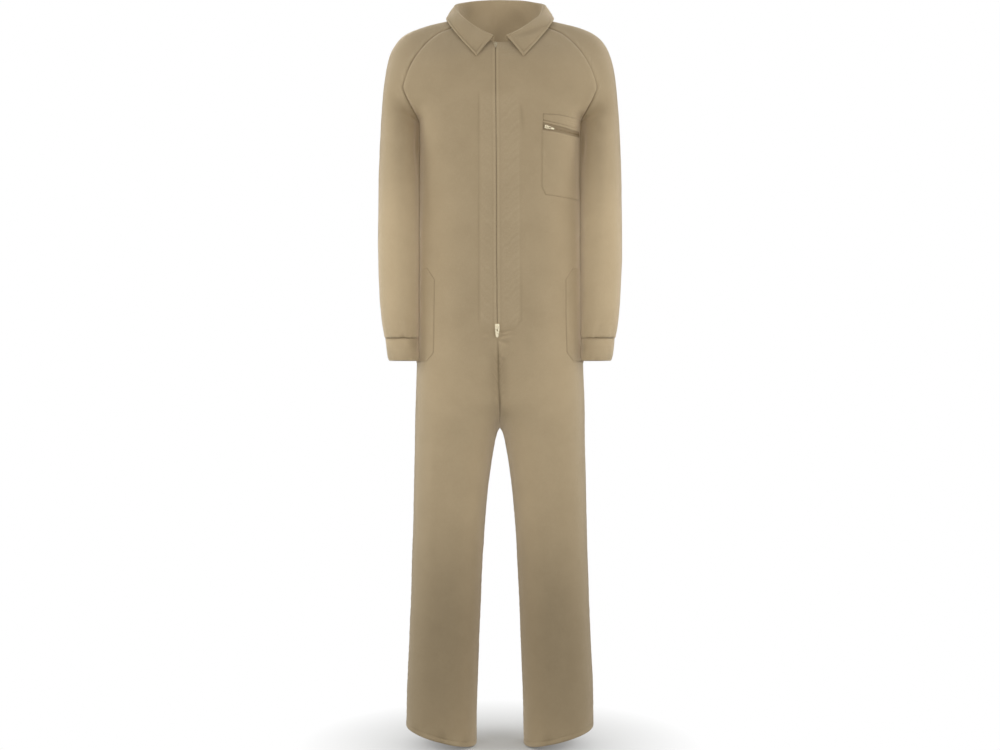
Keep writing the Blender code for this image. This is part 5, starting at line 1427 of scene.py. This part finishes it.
def patch_piece(name, base, flip, puff, seed, shade_weight=1.0, side_shade_weight=1.0, mouth_lines=(), lip_lines=()):
    """A piece sewn flat on a front, with folded edges and a little fullness of height puff.

    The two weights after seed set how dark the painted shade is along its outline and along its side ends.
    """
    rows, columns = base.shape[:2]
    cloth = Cloth(np.linspace(0.0, 1.0, rows), np.linspace(0.0, 1.0, columns), base, flip)
    s = cloth.from_start / (cloth.from_start + cloth.from_end)
    t = cloth.from_bottom / (cloth.from_bottom + cloth.from_top)
    sides = np.minimum(cloth.from_start, cloth.from_end)
    ends = np.minimum(cloth.from_bottom, cloth.from_top)
    edge = np.minimum(sides, ends)
    detail = creases(edge, PATCH_EDGE)
    wear_and_shade = np.zeros(detail.shape)
    for line in mouth_lines:
        detail += creases(cloth.from_top - line, PATCH_MOUTH)
    for line in lip_lines:
        detail += creases(cloth.from_bottom - line, STRIP_LIP)
        # Painted shade along the stitched line above the lip.
        wear_and_shade -= 0.0010 * bump_at(cloth.from_bottom, line, 0.0012)
    puckers = 0.00016 * ripple(cloth.from_bottom + cloth.from_start, 0.015, seed)
    detail += puckers * bump_at(edge, 0.006, 0.005)
    full = puff * np.sin(math.pi * s) ** 0.8 * np.sin(math.pi * t) ** 0.8
    uneven = 0.0004 * undulation(cloth.places[..., 0], cloth.places[..., 1], 0.05, seed + 1)
    full += uneven * ease(edge, 0.0, 0.012)
    rise = PATCH_RISE - edge_round(edge, 0.0020) - 0.0006 * (1.0 - ease(edge, 0.0, 0.0016))
    # Painted shade along the outline, fainter at the side ends by their weight.
    outline = np.maximum(bump_at(ends, 0.0, OUTLINE_WIDTH), side_shade_weight * bump_at(sides, 0.0, OUTLINE_WIDTH))
    cloth.raise_by(rise + detail + full, detail + wear_and_shade - OUTLINE_SHADE * shade_weight * outline)
    return cloth, cloth_piece(name, cloth, PATCH_DEEP)


EDGE_STEPS = (0.0, 0.0007, 0.0014, 0.0020, 0.0028, 0.0042, 0.0062, 0.0085)


HIP_FRONT_X, HIP_SLANT_X = 0.1400, 0.1562
HIP_MIDDLE_Z = -0.65
HIP_SEAM = 0.0016            # gap between the pocket and the side seam


def hip_pocket(side):
    """A hip pocket, laid by distances in from the side seam, with its front corners cut off."""
    host = panels[False, side]
    middle = int(np.argmin(np.abs(host.rows - row_of(HIP_MIDDLE_Z))))
    x = side * host.points[middle, :, 0]
    front, slant = np.interp([HIP_FRONT_X, HIP_SLANT_X], x, host.from_end[middle])
    foot, head = [(slant, -0.7500), (HIP_SEAM, -0.7526)], [(slant, -0.5490), (HIP_SEAM, -0.5535)]
    edges = foot, head, [foot[0], (front, -0.7320), (front, -0.5750), head[0]], [foot[1], head[1]]
    places = between_edges(*edges, close_at_edges(0.075, 22, EDGE_STEPS),
                           close_at_edges(0.195, 44, EDGE_STEPS))
    rows = row_of(places[..., 1])
    index = np.clip(np.searchsorted(host.rows, rows), 0, len(host.rows) - 1)
    shares = np.empty(rows.shape)
    for i in range(rows.shape[0]):
        for j in range(rows.shape[1]):
            shares[i, j] = np.interp(places[i, j, 0], host.from_end[index[i, j]][::-1], host.shares[::-1])
    node = sided("hip_pocket", side)
    cloth, obj = patch_piece(node + "_cloth", host.at(rows, shares)[0], side < 0, 0.0012,
                             100 if side > 0 else 110, mouth_lines=(HIP_MOUTH_LINE,))
    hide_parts(node)
    return cloth


hip_pockets = {side: hip_pocket(side) for side in (1.0, -1.0)}

STRIP_TOP = [(0.0905, -0.2262), (0.1216, -0.2262), (0.1536, -0.2292), (0.1712, -0.2285)]
STRIP_FOOT = [(0.0905, -0.2462), (0.1216, -0.2522), (0.1536, -0.2574), (0.1712, -0.2556)]
POCKET_TOP = [(0.0880, -0.2595), (0.1216, -0.2634), (0.1536, -0.2676), (0.1712, -0.2652)]
POCKET_FOOT = [(0.0962, -0.3972), (0.1700, -0.4036)]
POCKET_CORNER = (0.0878, -0.3813)

# Across the chest pocket the columns lie closer together towards its side end, where the front turns.
across = 1.0 - (1.0 - close_at_edges(0.083, 34, EDGE_STEPS)) ** 1.25
pocket_places = between_edges(POCKET_FOOT, POCKET_TOP, [POCKET_FOOT[0], POCKET_CORNER, POCKET_TOP[0]],
                              [POCKET_FOOT[-1], POCKET_TOP[-1]], across,
                              close_at_edges(0.135, 40, EDGE_STEPS))
strip_places = between_edges(STRIP_FOOT, STRIP_TOP, [STRIP_FOOT[0], STRIP_TOP[0]],
                             [STRIP_FOOT[-1], STRIP_TOP[-1]], across,
                             close_at_edges(0.024, 8, EDGE_STEPS[:-1]))
front_left = panels[False, 1.0]
chest_pocket, piece = patch_piece("chest_pocket_cloth", seen_from_front(front_left, pocket_places), False,
                                  0.0014, 120, 0.9, 0.35, mouth_lines=(CHEST_MOUTH_LINE,))
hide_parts("chest_pocket")
chest_strip, piece = patch_piece("chest_pocket_strip", seen_from_front(front_left, strip_places), False,
                                 0.0004, 130, 3.2, 0.22, lip_lines=(STRIP_LIP_LINE,))
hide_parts("chest_pocket_top")


# ---------------------------------------------------------------- zips
TOOTH_PITCH = 0.0028
Tooth = namedtuple("Tooth", "half_width half_height depth reach")
# A tooth's outline in shares of its half width and half height: a block with a narrower nib.
TOOTH_OUTLINE = [(-1.0, -1.0), (-0.2, -1.0), (0.55, -0.72), (1.0, -0.3), (1.0, 0.3), (0.55, 0.72),
                 (-0.2, 1.0), (-1.0, 1.0)]
FRONT_TOOTH = Tooth(half_width=0.0013, half_height=0.00062, depth=0.0012, reach=0.0002)
CHEST_TOOTH = Tooth(half_width=0.0009, half_height=0.00052, depth=0.0011, reach=0.0003)
TAPE_HALF = 0.0130
TAPE_DROP = 0.0020           # how far the front zip's band lies behind the fronts' faces
TEETH_DROP = 0.0011
FRONT_BAND_DEEP, CHEST_BAND_DEEP = 0.0007, 0.0006
ZIP_TOP_ROW = 12.85
NEAR_ZIP = 60                # points of a row's line that are searched for the zip


def small_solids(name, shapes):
    """One mesh from many small solids, each given as points and faces."""
    points, faces = [], []
    for its_points, its_faces in shapes:
        start = len(points)
        points.extend(its_points)
        faces.extend([[start + k for k in face] for face in its_faces])
    places = [(p[0], p[2], p[1]) for p in points]
    return mesh_of(name, points, faces, places, np.zeros(len(points)), sharp=TOOTH_SHARP)


def tooth_solid(point, across, along, out, tooth):
    """A zip tooth: a small rounded block with a nib, held by the tape's edge."""
    outline = [(a * tooth.half_width, b * tooth.half_height) for a, b in TOOTH_OUTLINE]
    low = [point + a * across + b * along - tooth.depth * out for a, b in outline]
    high = [point + 0.86 * a * across + 0.8 * b * along for a, b in outline]
    count = len(outline)
    faces = [list(range(count, 2 * count)), list(range(count))[::-1]]
    faces += [[i, (i + 1) % count, (i + 1) % count + count, i + count] for i in range(count)]
    return low + high, faces


def zip_teeth(name, line, out, tooth):
    """Teeth of a closed zip along a line, taken in turn from its two sides."""
    run = lengths_along(line)
    stops = np.arange(0.0008, run[-1] - 0.0006, TOOTH_PITCH / 2)
    ahead = unit(points_along(line, stops + 0.0005) - points_along(line, stops - 0.0005))
    shapes = []
    for place, along, outward in zip(points_along(line, stops), ahead, unit(read_along(out, run, stops))):
        across = np.cross(along, outward) * (1.0 if len(shapes) % 2 else -1.0)
        place = place - across * tooth.reach
        shapes.append(tooth_solid(place, across, np.cross(outward, across), outward, tooth))
    return add_piece(name, small_solids(name, shapes), (gap_shaded_brass,))


def front_middle(row):
    """Point of the trunk's front at the zip, before its cloth is dressed."""
    line = body_line(row, False)
    split = front_line.at(line[0, 2])
    near = line[:NEAR_ZIP]
    y, z = (np.interp(abs(split.x), near[:, 0], near[:, axis]) for axis in (1, 2))
    return np.array([split.x, y, z])


zip_rows = np.concatenate([np.linspace(row_of(ZIP_END_Z - ZIP_END_HALF), ARMPIT_ROW, 60),
                           np.linspace(ARMPIT_ROW, ZIP_TOP_ROW, 50)[1:]])
zip_line = np.array([front_middle(row) for row in zip_rows])
zip_out = np.gradient(zip_line, axis=0)
zip_out = unit(np.stack([np.zeros(len(zip_out)), -zip_out[:, 2], zip_out[:, 1]], axis=1))
spans = np.array([-TAPE_HALF, -0.008, -0.003, -0.0012, 0.0, 0.0012, 0.003, 0.008, TAPE_HALF])
tape_points = zip_line[:, None, :] + spans[None, :, None] * np.array([1.0, 0.0, 0.0])
tape_points = tape_points - TAPE_DROP * zip_out[:, None, :]
tape_cloth = Cloth(zip_rows, np.linspace(0.0, 1.0, len(spans)), tape_points, False)
TAPE_FINISHES = (tape_finish, tape_finish)
piece = cloth_piece("front_zip_band", tape_cloth, FRONT_BAND_DEEP, TAPE_FINISHES)
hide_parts("front_zip_tape")
shown = zip_line[:, 2] > ZIP_END_Z + ZIP_END_HALF
zip_teeth("front_zip_teeth", (zip_line - TEETH_DROP * zip_out)[shown], zip_out[shown], FRONT_TOOTH)

WINDOW_TOP = [(0.0900, -0.2440), (0.1216, -0.2494), (0.1536, -0.2546), (0.1708, -0.2528)]
WINDOW_FOOT = [(0.0900, -0.2625), (0.1216, -0.2662), (0.1536, -0.2703), (0.1708, -0.2680)]
TEETH_LINE = [(0.0912, -0.2530), (0.0996, -0.2549), (0.1216, -0.2586), (0.1536, -0.2630),
              (0.1700, -0.2610)]
window_across, window_along = np.linspace(0.0, 1.0, 40), np.linspace(0.0, 1.0, 9)
window_places = between_edges(WINDOW_FOOT, WINDOW_TOP, [WINDOW_FOOT[0], WINDOW_TOP[0]],
                              [WINDOW_FOOT[-1], WINDOW_TOP[-1]], window_across, window_along)
window = Cloth(window_along, window_across, seen_from_front(front_left, window_places), False)
# The band in the zip window gets a relief of -0.3 mm, which paints a little shade on it.
window.raise_by(np.full(window.relief.shape, 0.0004), np.full(window.relief.shape, -0.0003))
piece = cloth_piece("chest_zip_band", window, CHEST_BAND_DEEP, TAPE_FINISHES)
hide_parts("chest_zip_tape")
teeth_places = round_trip(TEETH_LINE, np.linspace(0.0, 1.0, 60))[None]
teeth_points = seen_from_front(front_left, teeth_places)[0]
teeth_out = np.cross(np.array([0.0, 0.0, 1.0]), np.gradient(teeth_points, axis=0))
teeth_out = unit(teeth_out) * -np.sign(teeth_out[:, 1:2])
zip_teeth("chest_zip_teeth", teeth_points + 0.0010 * teeth_out, teeth_out, CHEST_TOOTH)

for name in ("front_zip_slider_bottom", "front_zip_pull_bottom", "front_zip_slider_top",
             "front_zip_pull_top", "chest_zip_slider", "chest_zip_pull"):
    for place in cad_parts[name].material_slots:
        place.material = brass


# ---------------------------------------------------------------- sewing
STITCH = 0.0030              # from one stitch to the next
THREAD_HALF = 0.00026
STITCH_SLANT = 0.10
SHOULDER, TIP = 0.22, 0.44   # of a stitch, in shares of STITCH from its middle
SHOULDER_RISE, TIP_DIP = 0.00012, 0.00025
# The corners of a stitch are its first tip, the ring of its first shoulder, then the other ring and tip.
STITCH_FACES = [(0, 2, 1), (0, 3, 2), (0, 4, 3), (0, 1, 4), (9, 5, 6), (9, 6, 7), (9, 7, 8), (9, 8, 5),
                (1, 2, 6, 5), (2, 3, 7, 6), (3, 4, 8, 7), (4, 1, 5, 8)]
STITCH_PLACES = np.array([(0.0, -0.0013, 0.0), *[(0.0001 * i, -0.0007, 0.0) for i in range(4)],
                          *[(0.0001 * i, 0.0007, 0.0) for i in range(4)], (0.0, 0.0013, 0.0)])


def sew(name, runs):
    """Stitches along runs of (points, normals): short threads that dip into the cloth at their ends."""
    middles, aheads, outs = [], [], []
    for points, normals in runs:
        run = lengths_along(points)
        stops = np.arange(0.5 * STITCH, run[-1] - 0.4 * STITCH, STITCH)
        if not len(stops):
            continue
        step = 0.3 * STITCH
        middles.append(points_along(points, stops))
        aheads.append(unit(points_along(points, stops + step) - points_along(points, stops - step)))
        outs.append(unit(read_along(normals, run, stops)))
    middle, ahead, out = (np.concatenate(part) for part in (middles, aheads, outs))
    across = np.cross(ahead, out)
    ahead = ahead + STITCH_SLANT * across
    corners = [middle - TIP * STITCH * ahead - TIP_DIP * out]
    for along in (-SHOULDER, SHOULDER):
        centre = middle + along * STITCH * ahead + SHOULDER_RISE * out
        for turn in (0.0, 0.5, 1.0, 1.5):
            a, b = math.cos(turn * math.pi), math.sin(turn * math.pi)
            corners.append(centre + THREAD_HALF * (a * across + b * out))
    corners.append(middle + TIP * STITCH * ahead - TIP_DIP * out)
    count, each = len(middle), len(corners)
    faces = [tuple(each * k + i for i in face) for k in range(count) for face in STITCH_FACES]
    places = np.tile(STITCH_PLACES, (count, 1))
    places[:, 1] += np.repeat(np.arange(count) * STITCH, each)
    points = np.stack(corners, axis=1).reshape(-1, 3)
    mesh = mesh_of(name, points, faces, places, np.zeros(len(points)), sharp=STITCH_SHARP)
    return add_piece(name, mesh, (thread_finish,))


def run_beside(cloth, distance, first=-math.inf, last=math.inf, from_end=False):
    """A run along the rows' start or end edge, at a distance in from it."""
    chosen = np.nonzero((cloth.rows >= first) & (cloth.rows <= last))[0]
    shares = np.array([np.interp(distance, cloth.from_end[k][::-1], cloth.shares[::-1]) if from_end
                       else np.interp(distance, cloth.from_start[k], cloth.shares) for k in chosen])
    return cloth.at(cloth.rows[chosen], shares)[:2]


def run_across(cloth, distance, first=0.0, last=1.0, from_top=False):
    """A run along the bottom or top edge, at a distance in from it."""
    chosen = np.nonzero((cloth.shares >= first) & (cloth.shares <= last))[0]
    rows = np.array([np.interp(distance, cloth.from_top[::-1, j], cloth.rows[::-1]) if from_top
                     else np.interp(distance, cloth.from_bottom[:, j], cloth.rows) for j in chosen])
    return cloth.at(rows, cloth.shares[chosen])[:2]


def run_of_places(host, places):
    """A run over the front through (x, z) places."""
    line = round_trip(places, np.linspace(0.0, 1.0, 60))
    points = seen_from_front(host, line[None])[0]
    nearest = [int(np.argmin(np.sum((host.points - p) ** 2, axis=2))) for p in points]
    return points, host.normals.reshape(-1, 3)[nearest]


SEAM_LINE = 0.0024           # beside the fly seam and the centre-back seam
NECK_LINE = 0.0030
STRIP_LINE, STRIP_END_LINE = 0.0017, 0.0035
SEWN_TOP_ROW = 12.9
FACING_CURVE = 7             # places of the left facing's line that are sewn


for side in (1.0, -1.0):
    front, rear, cuff, pocket = panels[False, side], panels[True, side], cuffs[side], hip_pockets[side]
    runs = [run_beside(front, ZIP_LINE, row_of(ZIP_END_Z + 0.002), SEWN_TOP_ROW),
            run_across(front, HEM_LINE), run_across(front, NECK_LINE, 0.05, 0.95, True)]
    if side > 0:
        runs.append(run_beside(front, SEAM_LINE, row_of(-0.887), row_of(-0.712)))
        runs.append(run_of_places(front, FACING[side][:FACING_CURVE]))
    sew(sided("front", side) + "_stitches", runs)
    sew(sided("back", side) + "_stitches",
        [run_across(rear, HEM_LINE), run_beside(rear, SEAM_LINE, CROTCH_ROW + 0.1, SEWN_TOP_ROW)])
    sew(sided("cuff", side) + "_stitches",
        [run_across(cuff, CUFF_FOOT_LINE), run_across(cuff, CUFF_HEAD_LINE, from_top=True)])
    sew(sided("hip_pocket", side) + "_stitches",
        [run_beside(pocket, POCKET_LINE), run_across(pocket, POCKET_LINE, 0.02, 0.97),
         run_across(pocket, POCKET_LINE, 0.02, 0.97, True),
         run_across(pocket, HIP_MOUTH_LINE, 0.02, 0.97, True)])
sew("chest_pocket_stitches",
    [run_beside(chest_pocket, POCKET_LINE), run_across(chest_pocket, POCKET_LINE, 0.02, 0.98),
     run_beside(chest_pocket, POCKET_LINE, from_end=True),
     run_across(chest_pocket, CHEST_MOUTH_LINE, 0.02, 0.98, True)])
sew("chest_strip_stitches",
    [run_across(chest_strip, STRIP_LINE, 0.03, 0.97, True),
     run_across(chest_strip, STRIP_LIP_LINE, 0.10, 0.96),
     run_beside(chest_strip, STRIP_END_LINE, 0.25, 0.85, True),
     run_across(chest_strip, STRIP_LINE, 0.03, 0.97)])
leaf_ends = [run_across(collar, LEAF_LINE, 0.60, 0.91, top) for top in (False, True)]
sew("collar_stitches", [run_beside(collar, LEAF_LINE, -0.974, 0.974, True)] + leaf_ends)


# ---------------------------------------------------------------- floor, light and camera
DAYLIGHT = (0.96, 0.985, 1.0)
BLACK, WHITE = (0.0, 0.0, 0.0, 1.0), (1.0, 1.0, 1.0, 1.0)


def in_studio(name, data, place):
    obj = bpy.data.objects.new(name, data)
    obj.location = place
    bpy.context.scene.collection.objects.link(obj)
    return obj


def aim(obj, target):
    obj.rotation_euler = (Vector(target) - obj.location).to_track_quat("-Z", "Y").to_euler()


def soft_light(name, place, target, size, power):
    light = bpy.data.lights.new(name, "AREA")
    light.shape = "RECTANGLE"
    light.size, light.size_y = size
    light.energy = power
    light.color = DAYLIGHT
    obj = in_studio(name, light, place)
    aim(obj, target)
    return obj


def soft_beam(name, place, size, power, spread):
    """Narrow soft light that looks straight at the front of the suit."""
    obj = soft_light(name, place, (place[0], 0.0, place[2]), size, power)
    obj.data.spread = math.radians(spread)
    obj.visible_camera = False
    return obj


FLOOR_RADIUS = 3.0
FLOOR_PALE = (0.60, 0.60, 0.59, 1.0)
FADE_FROM, FADE_TO = 0.06, 0.44              # distances from the middle


def floor_finish():
    """Pale floor that fades to white away from the suit."""
    finish, tree, shader = new_finish("pale_floor")
    place = add_node(tree, "ShaderNodeTexCoord").outputs["Object"]
    away = add_node(tree, "ShaderNodeVectorMath", {0: place}, operation="LENGTH").outputs["Value"]
    fade = ranged(tree, away, FADE_FROM, FADE_TO)
    put(tree, blended(tree, fade, FLOOR_PALE, BLACK), shader.inputs["Base Color"])
    shown = maths(tree, "MULTIPLY", fade, add_node(tree, "ShaderNodeLightPath").outputs["Is Camera Ray"])
    put(tree, blended(tree, shown, BLACK, WHITE), shader.inputs["Emission Color"])
    shader.inputs["Emission Strength"].default_value = 1.0
    shader.inputs["Roughness"].default_value = 0.9
    shader.inputs["Specular IOR Level"].default_value = 0.0
    return finish


floor_mesh = bpy.data.meshes.new("floor")
bm = bmesh.new()
bmesh.ops.create_circle(bm, cap_ends=True, segments=128, radius=FLOOR_RADIUS)
bm.to_mesh(floor_mesh)
bm.free()
floor_mesh.materials.append(floor_finish())
floor = in_studio("floor", floor_mesh, (0.0, 0.0, cad_box[0].z - 0.0005))

BELLY = (0.0, 0.0, -0.50)
SQUARE = (0.8, 0.8)
for side in (1.0, -1.0):
    soft_light(sided("softbox_front", side), (side * 1.30, -1.60, -0.28), (0.0, 0.0, -0.45), SQUARE, 4.4)
    soft_light(sided("softbox_side", side), (side * 1.40, -0.42, -0.50), BELLY, SQUARE, 6.9)
    fill = soft_light(sided("fill_side", side), (side * 1.40, -0.60, -0.52), BELLY, SQUARE, 6.5)
    fill.data.use_shadow = False
    soft_beam(sided("sleeve_beam", side), (side * 0.222, -0.72, -0.57), (0.10, 0.38), 0.060, 24.0)
    soft_beam(sided("thigh_beam", side), (side * 0.085, -0.75, -0.97), (0.16, 0.38), 0.060, 35.0)
    soft_light(sided("softbox_back", side), (side * 1.60, 1.70, -0.10), BELLY, (1.0, 1.4), 9.0)
soft_light("softbox_middle", (0.0, -2.40, -0.04), BELLY, (0.8, 0.6), 7.8)
soft_light("softbox_behind", (0.0, 2.60, -0.20), (0.0, 0.0, -0.75), (0.9, 0.9), 11.0)
soft_light("softbox_above", (0.0, -0.15, 1.50), (0.0, 0.0, 0.0), (0.9, 0.5), 1.2)

spot = bpy.data.lights.new("neck_light", "SPOT")
spot.energy = 30.0
spot.spot_size = math.radians(9.0)
spot.spot_blend = 0.9
spot.shadow_soft_size = 0.12
aim(in_studio("neck_light", spot, (0.0, -1.60, 1.00)), (0.0, 0.10, 0.02))

world = bpy.data.worlds.new("studio")
world.use_nodes = True
tree = world.node_tree
sky = tree.nodes["Background"]
sky.inputs["Color"].default_value = (1.0, 0.99, 0.97, 1.0)
sky.inputs["Strength"].default_value = 0.42
seen = add_node(tree, "ShaderNodeBackground", {"Color": WHITE, "Strength": 1.0})
straight = add_node(tree, "ShaderNodeLightPath").outputs["Is Camera Ray"]
mixed = add_node(tree, "ShaderNodeMixShader", {0: straight})
tree.links.new(sky.outputs[0], mixed.inputs[1])
tree.links.new(seen.outputs[0], mixed.inputs[2])
tree.links.new(mixed.outputs[0], tree.nodes["World Output"].inputs["Surface"])
bpy.context.scene.world = world
bpy.context.scene.view_settings.view_transform = "Standard"

camera_data = bpy.data.cameras.new("camera")
camera_data.sensor_width = 36.0
camera_data.lens = 52.36
camera = in_studio("camera", camera_data, (0.0, -3.2, -0.7788))
camera.rotation_euler = (math.radians(90), 0.0, 0.0)
bpy.context.scene.camera = camera
